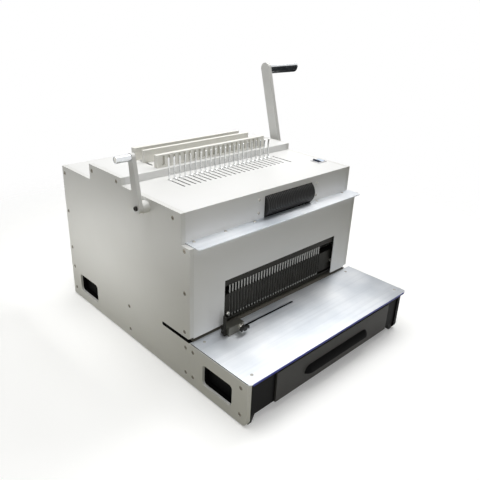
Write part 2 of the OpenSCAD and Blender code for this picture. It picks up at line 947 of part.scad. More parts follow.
// Block that guides the pins, slotted in front of each, with a gap where their tips show
module guide_block() {
  color("dimgray")
    difference() {
      box([-xi, xi], [block_back_d, block_front_d], [block_z0, guide_top]);
      for (i = [0:pin_n - 1])
        rod_z(pin_x(i), pin_row_d, [block_z0 - 1, guide_top + 1], pin_bore);
      for (i = [0:pin_n - 1])
        box([pin_x(i) - block_slot_w / 2, pin_x(i) + block_slot_w / 2], [pin_row_d, block_front_d + 1],
          [block_gap[1], guide_top + 1]);
      box([-xi - 1, xi + 1], [pin_row_d - pin_d, block_front_d + 1], block_gap);
      tapped(block_screws);
    }
}

module die_plate() {
  color("silver")
    difference() {
      box([-xi, xi], [body_d - die_len, body_d + eps], [die_z0, table_h]);
      for (i = [0:pin_n - 1])
        rod_z(pin_x(i), pin_row_d, [die_z0 - 1, table_h + 1], pin_bore);
    }
}

module punch_posts() {
  color("silver")
    both_sides()
      rod_z(post_x, post_row_d, [guide_top, bar_z1 + 1], post_d);
}

module gearbox() {
  x1 = xi - bearing_t;
  x0 = x1 - gear_box_w;
  color("slategray")
    difference() {
      union() {
        box([x0, x1], [ecc_d0 - gear_box_half, ecc_d0 + gear_box_half],
          [ecc_z - gear_box_half, ecc_z + gear_box_half]);
        box([x0, x1], [worm_back_d, worm_front_d], [ecc_z - worm_drop - worm_half, ecc_z]);
      }
      rod_x([x0 - 1, x1 + 1], ecc_d0, ecc_z, ecc_shaft_d + 2 * fit);
    }
}

module punch_motor() {
  x = xi - bearing_t - gear_box_w / 2;
  z = ecc_z - worm_drop;
  color("darkslategray")
    union() {
      rod_y(x, [worm_back_d - motor_len, worm_back_d - motor_neck], z, motor_d);
      rod_y(x, [worm_back_d - motor_neck - motor_lap, worm_back_d], z, gear_box_w);
      rod_y(x, [worm_back_d - motor_len - motor_cap, worm_back_d - motor_len + 1], z,
        motor_d - motor_step);
    }
}

module roller_brackets() {
  low = step_h + table_t + 3;
  high = main_h - 14;
  color("silver")
    difference() {
      union() {
        for (x = [bracket_x0, bracket_x1])
          box([x, x + bracket_t], [roller_d0 - 28, top_front_d - sheet_t], [low, high]);
        box([bracket_x0 - bracket_foot, bracket_x0 + 1],
          [top_front_d - sheet_t - 2, top_front_d - sheet_t], [low, high]);
        box([bracket_x1, bracket_x1 + bracket_t + bracket_foot],
          [top_front_d - sheet_t - 2, top_front_d - sheet_t], [low, high]);
      }
      rod_x([bracket_x0 - 1, bracket_x1 + bracket_t + 1], roller_d0, roller_z, roller_shaft_d + 2 * run);
    }
}

module roller_motor() {
  color("darkslategray")
    difference() {
      rod_x([bracket_x0 - roller_motor_len, bracket_x0], roller_d0 - roller_motor_off, roller_z,
        roller_motor_d);
      rod_x([bracket_x0 - roller_drive - 2, bracket_x0 + 1], roller_d0, roller_z,
        roller_shaft_d + 2 * fit);
    }
}

module switch_bezel() {
  in_w = rocker_w + 2 * rocker_gap;
  in_l = rocker_l + 2 * rocker_gap;
  color("black")
    difference() {
      union() {
        box([switch_x - switch_w / 2, switch_x + switch_w / 2],
          [switch_d - switch_l / 2, switch_d + switch_l / 2], [main_h, main_h + 2]);
        box([switch_x - in_w / 2 - bezel_wall, switch_x + in_w / 2 + bezel_wall],
          [switch_d - in_l / 2 - bezel_wall, switch_d + in_l / 2 + bezel_wall],
            [main_h - 20, main_h + 1]);
      }
      box([switch_x - in_w / 2, switch_x + in_w / 2],
        [switch_d - in_l / 2, switch_d + in_l / 2], [main_h - 16, main_h + 3]);
      rod_y(switch_x, [switch_d - switch_l, switch_d + switch_l], main_h - rocker_pin_drop,
        rocker_pin_d + 2 * run);
    }
}

// Key with a dip in its top, tipped down at its right end about a pin that runs along the depth
module rocker() {
  half = rocker_w / 2 - rocker_side;
  reach = rocker_l / 2 + rocker_gap + bezel_wall - fit;
  color("midnightblue")
    union() {
      translate([switch_x, yd(switch_d - rocker_l / 2), main_h - rocker_pin_drop])
        rotate([0, rocker_tilt, 0])
          rotate([90, 0, 0])
            linear_extrude(rocker_l)
              polygon([[-half, -2], [-half, rocker_end], [0, rocker_end - rocker_dip],
                [half, rocker_end], [half, -2], [0, -5]]);
      rod_y(switch_x, [switch_d - reach, switch_d + reach], main_h - rocker_pin_drop, rocker_pin_d);
    }
}

// Flat bar between two points of a lever, rounded at both ends
module lever_bar(x, d, z, len, lean, w0, w1) {
  slab(x)
    translate([yd(d), z])
      rotate(-lean) {
        circle(d = w0);
        translate([0, len])
          circle(d = w1);
        polygon([[w0 / 2, 0], [w1 / 2, len], [-w1 / 2, len], [-w0 / 2, 0]]);
      }
}

function left_tip() = [comb_d - left_len * sin(left_lean), comb_z + left_len * cos(left_lean)];
function right_tip() = [closer_d - right_len * sin(right_lean), closer_z + right_len * cos(right_lean)];

module left_lever_arm() {
  x1 = -xo - fit;
  color("gainsboro")
    difference() {
      union() {
        rod_x([x1 - left_hub_w, x1], comb_d, comb_z, left_hub_d);
        lever_bar([x1 - left_hub_w - left_arm_t, x1 - left_hub_w], comb_d, comb_z, left_len, left_lean,
          left_root_w, left_tip_w);
      }
      rod_x([x1 - left_hub_w - left_arm_t + lever_web, x1 + 1], comb_d, comb_z, comb_shaft_d + fit);
      rod_x([x1 - left_hub_w - left_arm_t - 1, x1 + 1], comb_d, comb_z, screw_d + fit);
      rod_x([x1 - left_hub_w - left_arm_t - 1, x1 + 1], left_tip()[0], left_tip()[1], left_bolt_d + fit);
    }
}

module left_lever_screw() {
  x1 = -xo - fit - left_hub_w - left_arm_t;
  color("black")
    union() {
      rod_x([x1 - lever_head_h, x1], comb_d, comb_z, lever_head_d);
      rod_x([x1 - 1, x1 + lever_web + screw_grip], comb_d, comb_z, screw_d);
    }
}

module comb_shaft() {
  x0 = -xo - fit - left_hub_w - left_arm_t + lever_web;
  color("silver")
    difference() {
      rod_x([x0, xi - 1], comb_d, comb_z, comb_shaft_d);
      rod_x([x0 - 1, x0 + screw_grip + 1], comb_d, comb_z, screw_d + fit);
    }
}

// Toothed sectors that hang from the opener shaft and turn to the back
module sector_gears() {
  color("gray")
    both_sides()
      slab([gear_x, gear_x + gear_w])
        translate([yd(comb_d), comb_z])
          difference() {
            union() {
              gear(sector_n, -8, 1);
              circle(13);
              intersection() {
                circle(sector_r - tooth_ded + 0.2);
                rotate(-90)
                  polygon([[0, 0], polar(60, 24), polar(60, -20), polar(60, -60), polar(60, -100),
                    polar(60, -128)]);
              }
            }
            circle(d = comb_shaft_d + fit);
          }
}

module left_grip_bolt() {
  x1 = -xo - fit - left_hub_w;
  x0 = x1 - left_arm_t - grip_gap - left_grip_len;
  color("dimgray")
    union() {
      rod_x([x0 + 3, x1], left_tip()[0], left_tip()[1], left_bolt_d);
      rod_x([x0 + 1, x0 + 3], left_tip()[0], left_tip()[1], left_bolt_d + 4);
    }
}

module left_grip() {
  x1 = -xo - fit - left_hub_w - left_arm_t - grip_gap;
  color("silver")
    difference() {
      rod_x([x1 - left_grip_len, x1], left_tip()[0], left_tip()[1], left_grip_d);
      rod_x([x1 - left_grip_len - 1, x1 + 1], left_tip()[0], left_tip()[1], left_bolt_d + 0.6);
      rod_x([x1 - left_grip_len - 1, x1 - left_grip_len + 3.4], left_tip()[0], left_tip()[1],
        left_bolt_d + 5);
    }
}

module idler_shaft() {
  color("gray")
    union() {
      rod_x([-xi + 1, xi - 1], comb_d, idler_z, idler_shaft_d);
      both_sides()
        slab([gear_x, gear_x + gear_w])
          translate([yd(comb_d), idler_z])
            rotate(180 / idler_n) {
              gear(idler_n, 0, idler_n - 1);
              circle(idler_r - tooth_ded);
            }
    }
}

module hook_carriage() {
  rack_front_d = comb_d + 9;
  color("dimgray")
    difference() {
      union() {
        box([-arm_x - arm_t, arm_x + arm_t], [hook_d0 - carriage_over, hook_d0 + hook_foot],
          [hook_seat_z - carriage_h, hook_seat_z]);
        both_sides() {
          box([arm_x, arm_x + arm_t], [hook_d0 - carriage_over, hook_d0 + hook_foot],
            [rack_base_z, hook_seat_z]);
          box([arm_x, gear_x + rack_w], [hook_d0 - carriage_over, rack_front_d],
            [rack_base_z, rack_base_z + rack_h]);
          slab([gear_x - 0.5, gear_x - 0.5 + rack_w])
            translate([yd(comb_d), rack_z])
              rack(-1, 8);
          box([arm_x, lug_x + lug_w], [lug_d0, lug_d0 + lug_len],
            [rack_base_z, rack_base_z + rack_h]);
          box([lug_x, lug_x + lug_w], [lug_d0, lug_d0 + lug_len],
            [rack_base_z, lug_top]);
        }
      }
      both_sides()
        rod_y(rod_x, [comb_tie_d[0], comb_tie_d[1]], rod_z, rod_d + 2 * run);
    }
}

module comb_hooks() {
  y0 = yd(hook_d0);
  low = main_h + 1.5;
  color("silver")
    for (i = [0:hook_n - 1])
      slab([hook_x0 + i * hook_pitch - hook_t / 2, hook_x0 + i * hook_pitch + hook_t / 2]) {
        translate([y0 - hook_foot, hook_seat_z])
          square([hook_foot, low - hook_seat_z]);
        translate([y0 - hook_stem, hook_seat_z])
          square([hook_stem, main_h + hook_h - hook_stem / 2 - hook_seat_z]);
        translate([y0 - hook_stem / 2, main_h + hook_h - hook_stem / 2])
          circle(d = hook_stem);
        translate([y0 - hook_stem - hook_fillet, low])
          difference() {
            translate([0, -eps])
              square([hook_fillet + eps, hook_fillet + eps]);
            translate([0, hook_fillet])
              circle(hook_fillet);
          }
      }
}

module right_lever_arm() {
  x0 = xo + fit;
  color("gainsboro")
    difference() {
      union() {
        rod_x([x0, x0 + right_hub_w], closer_d, closer_z, right_hub_d);
        lever_bar([x0 + right_hub_w, x0 + right_hub_w + right_arm_t], closer_d, closer_z, right_len,
          right_lean,
          right_w, right_w);
      }
      rod_x([x0 - 1, x0 + right_hub_w + right_arm_t + 1], closer_d, closer_z, closer_shaft_d + fit);
      rod_x([x0 + right_hub_w + lever_web, x0 + right_hub_w + right_arm_t + 1], right_tip()[0],
        right_tip()[1],
        right_bolt_d + fit);
    }
}

module right_lever_screw() {
  x0 = xo + fit + right_hub_w + right_arm_t;
  color("black")
    rod_x([x0, x0 + 5], closer_d, closer_z, closer_shaft_d + 3);
}

// Pinion shaft of the wire closer, seated in the right lever
module closer_shaft() {
  color("silver")
    union() {
      rod_x([-xi + 1, xo + fit + right_hub_w + right_arm_t], closer_d, closer_z, closer_shaft_d);
      for (x = [jaw_x0 + leg_in + leg_t + 0.8, jaw_x0 + jaw_len - leg_in - leg_t - 0.8 - gear_w])
        slab([x, x + gear_w])
          translate([yd(closer_d), closer_z]) {
            gear(idler_n, 0, idler_n - 1);
            circle(pinion_r - tooth_ded);
          }
    }
}

module right_grip_bolt() {
  x0 = xo + fit + right_hub_w;
  x1 = x0 + right_arm_t + grip_gap + right_grip_len;
  color("dimgray")
    union() {
      rod_x([x0 + lever_web, x1 - 3], right_tip()[0], right_tip()[1], right_bolt_d);
      rod_x([x1 - 4, x1 - 1], right_tip()[0], right_tip()[1], right_bolt_d + 4);
    }
}

// Turned grip with a tapered end
module right_grip() {
  x0 = xo + fit + right_hub_w + right_arm_t + grip_gap;
  taper = 9;
  tip_r = right_bolt_d / 2 + 3.5;
  r = right_grip_d / 2;
  color("silver")
    translate([x0, yd(right_tip()[0]), right_tip()[1]])
      rotate([0, 90, 0])
        rotate_extrude()
          polygon([[right_bolt_d / 2 + 0.3, 0], [r, 0], [r, right_grip_len - taper],
            [tip_r, right_grip_len], [right_bolt_d / 2 + 2.5, right_grip_len],
            [right_bolt_d / 2 + 2.5, right_grip_len - 4.4],
              [right_bolt_d / 2 + 0.3, right_grip_len - 4.4]]);
}

// Bar with two legs that reach through the riser to the racks
module moving_jaw() {
  legs = [[jaw_x0 + leg_in, 1], [jaw_x0 + jaw_len - leg_in, -1]];
  color("ivory")
    difference() {
      union() {
        box([jaw_x0, jaw_x0 + jaw_len], [jaw_d0, jaw_d1], [riser_h + jaw_lift, riser_h + bar_h]);
        for (g = legs) {
          translate([g[0], 0, 0])
            mirror([g[1] < 0 ? 1 : 0, 0, 0]) {
              box([0, leg_t], [leg_back_d, jaw_d1], [leg_top - leg_cap, leg_top]);
              box([0, leg_t], [jaw_d0, jaw_d1], [leg_top - 1, riser_h + jaw_lift + 1]);
              box([0, leg_t], [leg_back_d, leg_front_d], [leg_base_z, leg_top - 1]);
              box([0, leg_t + rack_w], [leg_back_d, closer_d + jaw_rack_out],
                [leg_base_z, closer_rack_z - tooth_ded]);
              slab([leg_t - eps, leg_t + rack_w])
                translate([yd(closer_d) - PI * tooth_m / 2, closer_rack_z])
                  rack(-3, 1);
              box([-jaw_lug, 1], [leg_back_d, leg_front_d],
                [jaw_rod_z - jaw_lug_wall - rod_d / 2, jaw_rod_z + jaw_lug_wall + rod_d / 2]);
            }
        }
      }
      for (x = [jaw_x0 + leg_in - jaw_lug / 2, jaw_x0 + jaw_len - leg_in + jaw_lug / 2])
        rod_y(x, [leg_back_d - 1, leg_front_d + 1], jaw_rod_z, rod_d + 2 * run);
    }
}

// Drive shaft with two eccentrics, shown at the top of the stroke
module eccentric_shaft() {
  color("silver")
    union() {
      rod_x([-xi + 1, xi - 1], ecc_d0, ecc_z, ecc_shaft_d);
      both_sides()
        rod_x([ecc_x - ecc_w / 2, ecc_x + ecc_w / 2], ecc_d0, ecc_z + ecc_e, ecc_d);
    }
}

module punch_bar() {
  color("gray")
    difference() {
      box([-punch_bar_x, punch_bar_x], [bar_back_d, bar_front_d], [bar_z0, bar_z1]);
      for (i = [0:pin_n - 1])
        rod_z(pin_x(i), pin_row_d, [bar_z0 - 1, bar_z0 + pin_seat], pin_bore);
      both_sides()
        rod_z(post_x, post_row_d, [bar_z0 - 1, bar_z1 + 1], post_d + 2 * run);
    }
}

module punch_yokes() {
  half_d = ecc_d / 2 + ecc_e + 1;
  half_z = ecc_d / 2 + ecc_slack;
  color("gray")
    both_sides()
      difference() {
        box([ecc_x - yoke_t / 2, ecc_x + yoke_t / 2],
          [ecc_d0 - half_d - yoke_wall, ecc_d0 + half_d + yoke_wall],
          [bar_z1, ecc_z + ecc_e + half_z + yoke_wall]);
        box([ecc_x - yoke_t, ecc_x + yoke_t], [ecc_d0 - half_d, ecc_d0 + half_d],
          [ecc_z + ecc_e - half_z, ecc_z + ecc_e + half_z]);
      }
}

module punch_pins() {
  color("silver")
    for (i = [0:pin_n - 1])
      rod_z(pin_x(i), pin_row_d, [pin_rest_z, bar_z0 + pin_seat], pin_d);
}

// Rubber sleeve with a groove between every two ribs
module roller_sleeve() {
  p = roller_len / roller_ribs;
  color([0.08, 0.08, 0.08])
    translate([roller_x0, yd(roller_d0), roller_z])
      rotate([0, 90, 0])
        rotate_extrude()
          polygon(concat([[roller_shaft_d / 2 + fit / 2, 0]],
            [for (i = [0:roller_ribs - 1], q = [[0.08, rib_deep], [0.22, 0], [0.78, 0], [0.92, rib_deep]])
              [roller_r - q[1], (i + q[0]) * p]],
            [[roller_shaft_d / 2 + fit / 2, roller_len]]));
}

module roller_shaft() {
  color("silver")
    rod_x([bracket_x0 - roller_drive, bracket_x1 + bracket_t + 6], roller_d0, roller_z, roller_shaft_d);
}

module chip_drawer() {
  x = [drawer_x0 + tray_side, drawer_x1 - tray_side];
  d = [frame_front_d + drawer_gap - tray_len, frame_front_d + drawer_gap];
  color("gray")
    difference() {
      box(x, d, [tray_z0, tray_z1]);
      box([x[0] + tray_t, x[1] - tray_t], [d[0] + tray_t, d[1] - tray_t],
        [tray_z0 + tray_t, tray_z1 + 1]);
    }
}

module drawer_front() {
  color([0.23, 0.23, 0.22])
    box([drawer_x0, drawer_x1], [frame_front_d + drawer_gap, frame_front_d + drawer_gap + drawer_front_t],
      [drawer_z0, drawer_z1]);
}

module handle_shell(r) {
  half = handle_len / 2 - handle_r;
  rod_x([drawer_x - half, drawer_x + half], handle_d, handle_z, 2 * r);
  for (s = [-1, 1])
    translate([drawer_x + s * half, yd(handle_d), handle_z])
      sphere(r);
}

module drawer_handle() {
  d = frame_front_d + drawer_gap + drawer_front_t;
  color("black")
    difference() {
      intersection() {
        handle_shell(handle_r);
        box([drawer_x - handle_len, drawer_x + handle_len], [d, d + 60], [handle_z, handle_z + 60]);
      }
      handle_shell(handle_r - handle_t);
    }
}

// Paper stop that slides in the table slot
module side_guide() {
  lift = table_h + guide_play;
  under = base_h - guide_play;
  tongue = guide_slot_w / 2 - guide_play;
  run_x = [guide_x - slide_left, guide_x + slide_right];
  color("dimgray")
    difference() {
      union() {
        box([fence_x, fence_x + fence_t], [guide_d - fence_back, guide_d + fence_front],
          [lift, lift + fence_h]);
        box([fence_x + fence_t / 2, guide_x + slide_right], [guide_d - slide_back, guide_d + fence_front],
          [lift, guide_z + slide_top]);
        box(run_x, [guide_d - slide_back, guide_d + slide_front], [lift, guide_z + slide_top]);
        box(run_x, [guide_d - tongue, guide_d + tongue], [under - clip_t / 2, lift + 1]);
        box(run_x, [guide_d - clip_half, guide_d + clip_half], [under - clip_t, under]);
      }
      rod_y(guide_x, [guide_d - stud_len - 1, guide_d + slide_front + 1], guide_z, stud_d + 2 * run);
    }
}

// Wing knob that clamps the paper stop
module guide_knob() {
  face = guide_d + slide_front + guide_play;
  color("black")
    union() {
      rod_y(guide_x, [guide_d - stud_len, face + 1], guide_z, stud_d);
      rod_y(guide_x, [face, face + knob_hub_len + wing_t], guide_z, knob_hub_d);
      box([guide_x - wing_half, guide_x + wing_half], [face + knob_hub_len, face + knob_hub_len + wing_t],
        [guide_z - wing_h / 2, guide_z + wing_h / 2]);
    }
}

module placed() {
  translate([-mid_x, -yd(mid_d), 0])
    children();
}

placed() left_side_plate();
placed() right_side_plate();
placed() left_base_plate();
placed() right_base_plate();
placed() splice_bars();
placed() rear_cross_beam();
placed() middle_cross_beam();
placed() bottom_plate();
placed() rubber_feet();
placed() top_cover();
placed() riser_cover();
placed() rear_cover();
placed() lower_front_panel();
placed() front_shelf();
placed() table_plate();
placed() front_frame();
placed() drawer_runners();
placed() side_screws();
placed() comb_bar();
placed() rear_jaw();
placed() tie_bars();
placed() guide_rods();
placed() shaft_bearings();
placed() guide_block();
placed() die_plate();
placed() punch_posts();
placed() gearbox();
placed() punch_motor();
placed() roller_brackets();
placed() roller_motor();
placed() switch_bezel();
placed() power_inlet();
placed() left_lever_arm();
placed() left_lever_screw();
placed() comb_shaft();
placed() sector_gears();
placed() left_grip_bolt();
placed() left_grip();
placed() idler_shaft();
placed() hook_carriage();
placed() comb_hooks();
placed() right_lever_arm();
placed() right_lever_screw();
placed() closer_shaft();
placed() right_grip_bolt();
placed() right_grip();
placed() moving_jaw();
placed() eccentric_shaft();
placed() punch_bar();
placed() punch_yokes();
placed() punch_pins();
placed() roller_sleeve();
placed() roller_shaft();
placed() chip_drawer();
placed() drawer_front();
placed() drawer_handle();
placed() side_guide();
placed() guide_knob();
placed() rocker();
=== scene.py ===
import json
import math

import bmesh
import bpy
from mathutils import Matrix, Vector


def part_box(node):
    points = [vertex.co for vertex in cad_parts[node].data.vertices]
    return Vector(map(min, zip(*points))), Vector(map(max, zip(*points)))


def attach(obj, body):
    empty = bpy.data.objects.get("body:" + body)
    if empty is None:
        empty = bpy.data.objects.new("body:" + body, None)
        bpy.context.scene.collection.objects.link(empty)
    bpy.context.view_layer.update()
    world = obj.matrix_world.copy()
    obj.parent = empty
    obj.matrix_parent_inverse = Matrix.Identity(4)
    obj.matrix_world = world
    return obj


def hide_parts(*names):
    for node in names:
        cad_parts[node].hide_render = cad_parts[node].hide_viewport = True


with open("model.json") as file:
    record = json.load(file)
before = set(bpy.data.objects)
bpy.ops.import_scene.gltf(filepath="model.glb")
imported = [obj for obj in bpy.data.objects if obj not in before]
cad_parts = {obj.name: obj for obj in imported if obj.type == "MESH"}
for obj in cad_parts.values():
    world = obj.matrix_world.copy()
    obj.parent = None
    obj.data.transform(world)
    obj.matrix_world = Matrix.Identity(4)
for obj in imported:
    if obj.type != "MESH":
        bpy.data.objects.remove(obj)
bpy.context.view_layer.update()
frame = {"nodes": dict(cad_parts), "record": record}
nodes = frame["nodes"]
mm = 0.001
print("frame loaded with", len(nodes), "solid pieces")


def hexLinear(code):
    parts = [int(code[i:i + 2], 16) / 255 for i in (1, 3, 5)]
    return tuple(c / 12.92 if c <= 0.04045 else ((c + 0.055) / 1.055) ** 2.4 for c in parts) + (1,)


# One node with its settings, its plain inputs, the sockets that feed it and the sockets that it feeds
def addNode(tree, kind, settings=None, inputs=None, links=None, feeds=None):
    node = tree.nodes.new(kind)
    for key, value in (settings or {}).items():
        setattr(node, key, value)
    for key, value in (inputs or {}).items():
        node.inputs[key].default_value = value
    for key, socket in (links or {}).items():
        tree.links.new(socket, node.inputs[key])
    for key, socket in (feeds or {}).items():
        tree.links.new(node.outputs[key], socket)
    return node


def startMaterial(name, shader):
    material = bpy.data.materials.new(name)
    material.use_nodes = True
    tree = material.node_tree
    surface = tree.nodes["Principled BSDF"]
    for key, value in shader.items():
        surface.inputs[key].default_value = value
    place = addNode(tree, "ShaderNodeTexCoord").outputs["Object"]
    return material, tree, surface, place


# Two tones mixed by a soft noise, so that no face is one flat colour. Patch sizes are in millimetres.
def mottle(tree, surface, place, light, dark, patch, seed=0.0):
    noise = addNode(tree, "ShaderNodeTexNoise", {"noise_dimensions": "4D"},
                    {"Scale": 1 / (patch * mm), "Detail": 4, "Roughness": 0.55, "W": seed}, {"Vector": place})
    tone = addNode(tree, "ShaderNodeMix", {"data_type": "RGBA"}, {6: hexLinear(dark), 7: hexLinear(light)},
                   {0: noise.outputs["Fac"]}, {2: surface.inputs["Base Color"]})
    return noise.outputs["Fac"], tone.outputs[2]


coatValues = {"patch": 140, "peel": 2.2, "peelHeight": 0.05, "peelStrength": 0.25, "middle": 0.42,
              "smooth": 0.36, "rough": 0.5, "ior": 1.5}


# Powder-coated steel: a satin skin with a soft orange peel. The real peel is under 1 mm
# and is drawn at about 2 mm so that it shows.
def powderCoatedSteel(name, light, dark, seed):
    v = coatValues
    material, tree, surface, place = startMaterial(name, {"Roughness": v["middle"], "IOR": v["ior"]})
    mottle(tree, surface, place, light, dark, v["patch"], seed)
    peel = addNode(tree, "ShaderNodeTexNoise", {}, {"Scale": 1 / (v["peel"] * mm), "Detail": 1},
                   {"Vector": place}).outputs["Fac"]
    addNode(tree, "ShaderNodeMapRange", {}, {"To Min": v["smooth"], "To Max": v["rough"]},
            {"Value": peel}, {"Result": surface.inputs["Roughness"]})
    addNode(tree, "ShaderNodeBump", {}, {"Strength": v["peelStrength"], "Distance": v["peelHeight"] * mm},
            {"Height": peel}, {"Normal": surface.inputs["Normal"]})
    return material


brushValues = {"light": "#FAFAFA", "dark": "#B8C1CB", "smudge": 110, "lineLength": 90, "lineWidth": 0.9,
               "lineHeight": 0.01, "lineStrength": 0.12, "streakLength": 260, "streakWidth": 7,
               "streakTone": "#B9BEC4", "streakShare": 0.28, "streakFrom": 0.45, "streakTo": 0.75,
               "cloudShare": 0.55, "smooth": 0.3, "rough": 0.58, "anisotropy": 0.6}


# Brushed stainless sheet: long hairlines that smear reflections across the grain, and cloudy
# wiped patches. The hairlines are drawn about 1 mm wide so that they show.
def brushedStainless(name, seed):
    v = brushValues
    material, tree, surface, place = startMaterial(
        name, {"Metallic": 1.0, "Roughness": v["smooth"], "Anisotropic": v["anisotropy"]})
    addNode(tree, "ShaderNodeTangent", {"direction_type": "RADIAL", "axis": "X"}, {}, {},
            {"Tangent": surface.inputs["Tangent"]})
    cloud, tones = mottle(tree, surface, place, v["light"], v["dark"], v["smudge"], seed)
    streakAcross = 1 / (v["streakWidth"] * mm)
    wiped = addNode(tree, "ShaderNodeMapping", {},
                    {"Scale": (1 / (v["streakLength"] * mm), streakAcross, streakAcross)}, {"Vector": place})
    streak = addNode(tree, "ShaderNodeTexNoise", {}, {"Scale": 1.0, "Detail": 4},
                     {"Vector": wiped.outputs["Vector"]})
    share = addNode(tree, "ShaderNodeMapRange", {},
                    {"From Min": v["streakFrom"], "From Max": v["streakTo"], "To Max": v["streakShare"]},
                    {"Value": streak.outputs["Fac"]})
    addNode(tree, "ShaderNodeMix", {"data_type": "RGBA"}, {7: hexLinear(v["streakTone"])},
            {0: share.outputs["Result"], 6: tones}, {2: surface.inputs["Base Color"]})
    lineAcross = 1 / (v["lineWidth"] * mm)
    stretch = addNode(tree, "ShaderNodeMapping", {},
                      {"Scale": (1 / (v["lineLength"] * mm), lineAcross, lineAcross)}, {"Vector": place})
    hair = addNode(tree, "ShaderNodeTexNoise", {}, {"Scale": 1.0, "Detail": 3},
                   {"Vector": stretch.outputs["Vector"]}).outputs["Fac"]
    both = addNode(tree, "ShaderNodeMix", {"data_type": "FLOAT"}, {0: v["cloudShare"]}, {2: hair, 3: cloud})
    addNode(tree, "ShaderNodeMapRange", {}, {"To Min": v["smooth"], "To Max": v["rough"]},
            {"Value": both.outputs[0]}, {"Result": surface.inputs["Roughness"]})
    addNode(tree, "ShaderNodeBump", {}, {"Strength": v["lineStrength"], "Distance": v["lineHeight"] * mm},
            {"Height": hair}, {"Normal": surface.inputs["Normal"]})
    return material


groundValues = {"patch": 30, "lines": 6, "wander": 3.0, "lineHeight": 0.01, "lineStrength": 0.15}


# Ground or plated steel: bright, with short cross lines left by the wheel
def groundSteel(name, light, dark, smooth, rough):
    v = groundValues
    material, tree, surface, place = startMaterial(name, {"Metallic": 1.0, "Roughness": smooth})
    mottle(tree, surface, place, light, dark, v["patch"])
    lines = addNode(tree, "ShaderNodeTexWave", {"wave_type": "BANDS", "bands_direction": "Y"},
                    {"Scale": 1 / (v["lines"] * mm), "Distortion": v["wander"], "Detail": 2},
                    {"Vector": place}).outputs["Fac"]
    addNode(tree, "ShaderNodeMapRange", {}, {"To Min": smooth, "To Max": rough},
            {"Value": lines}, {"Result": surface.inputs["Roughness"]})
    addNode(tree, "ShaderNodeBump", {}, {"Strength": v["lineStrength"], "Distance": v["lineHeight"] * mm},
            {"Height": lines}, {"Normal": surface.inputs["Normal"]})
    return material


oxideValues = {"light": "#35342F", "dark": "#22211E", "patch": 18, "metallic": 0.85, "middle": 0.5,
               "smooth": 0.42, "rough": 0.6}


# Black-oxide steel: a thin dark skin over machined metal, dull sheen
def blackOxideSteel(name):
    v = oxideValues
    material, tree, surface, place = startMaterial(
        name, {"Metallic": v["metallic"], "Roughness": v["middle"]})
    cloud = mottle(tree, surface, place, v["light"], v["dark"], v["patch"])[0]
    addNode(tree, "ShaderNodeMapRange", {}, {"To Min": v["smooth"], "To Max": v["rough"]},
            {"Value": cloud}, {"Result": surface.inputs["Roughness"]})
    return material


chromeValues = {"light": "#E9EBED", "dark": "#DADDE0", "patch": 25, "smooth": 0.08, "rough": 0.2}


# Chrome plate over polished steel: sharp reflections, faint wiping marks
def chromePlate(name):
    v = chromeValues
    material, tree, surface, place = startMaterial(name, {"Metallic": 1.0, "Roughness": v["smooth"]})
    cloud = mottle(tree, surface, place, v["light"], v["dark"], v["patch"])[0]
    addNode(tree, "ShaderNodeMapRange", {}, {"To Min": v["smooth"], "To Max": v["rough"]},
            {"Value": cloud}, {"Result": surface.inputs["Roughness"]})
    return material


sprayValues = {"patch": 60, "pimpleHeight": 0.08, "ior": 1.5, "smoother": 0.06, "rougher": 0.1}


# Sprayed enamel or textured paint on sheet: fine pimples that break up the gloss, drawn as coarse as they
# need to show
def sprayedPaint(name, light, dark, pimple, rough, strength, gloss):
    v = sprayValues
    material, tree, surface, place = startMaterial(
        name, {"Roughness": rough, "IOR": v["ior"], "Specular IOR Level": gloss})
    mottle(tree, surface, place, light, dark, v["patch"])
    dots = addNode(tree, "ShaderNodeTexNoise", {}, {"Scale": 1 / (pimple * mm), "Detail": 2},
                   {"Vector": place}).outputs["Fac"]
    addNode(tree, "ShaderNodeMapRange", {}, {"To Min": rough - v["smoother"], "To Max": rough + v["rougher"]},
            {"Value": dots}, {"Result": surface.inputs["Roughness"]})
    addNode(tree, "ShaderNodeBump", {}, {"Strength": strength, "Distance": v["pimpleHeight"] * mm},
            {"Height": dots}, {"Normal": surface.inputs["Normal"]})
    return material


mouldValues = {"patch": 22, "pitHeight": 0.05, "pitStrength": 0.12, "smoother": 0.05, "rougher": 0.12}


# Moulded plastic or cured rubber: even colour with a spark-eroded grain from the mould, drawn as coarse as
# it needs to show
def mouldedPlastic(name, light, dark, grain, rough, ior, gloss=0.3):
    v = mouldValues
    material, tree, surface, place = startMaterial(
        name, {"Roughness": rough, "IOR": ior, "Specular IOR Level": gloss})
    mottle(tree, surface, place, light, dark, v["patch"])
    pits = addNode(tree, "ShaderNodeTexVoronoi", {"feature": "F1"}, {"Scale": 1 / (grain * mm)},
                   {"Vector": place}).outputs["Distance"]
    addNode(tree, "ShaderNodeMapRange", {}, {"To Min": rough - v["smoother"], "To Max": rough + v["rougher"]},
            {"Value": pits}, {"Result": surface.inputs["Roughness"]})
    addNode(tree, "ShaderNodeBump", {}, {"Strength": v["pitStrength"], "Distance": v["pitHeight"] * mm},
            {"Height": pits}, {"Normal": surface.inputs["Normal"]})
    return material


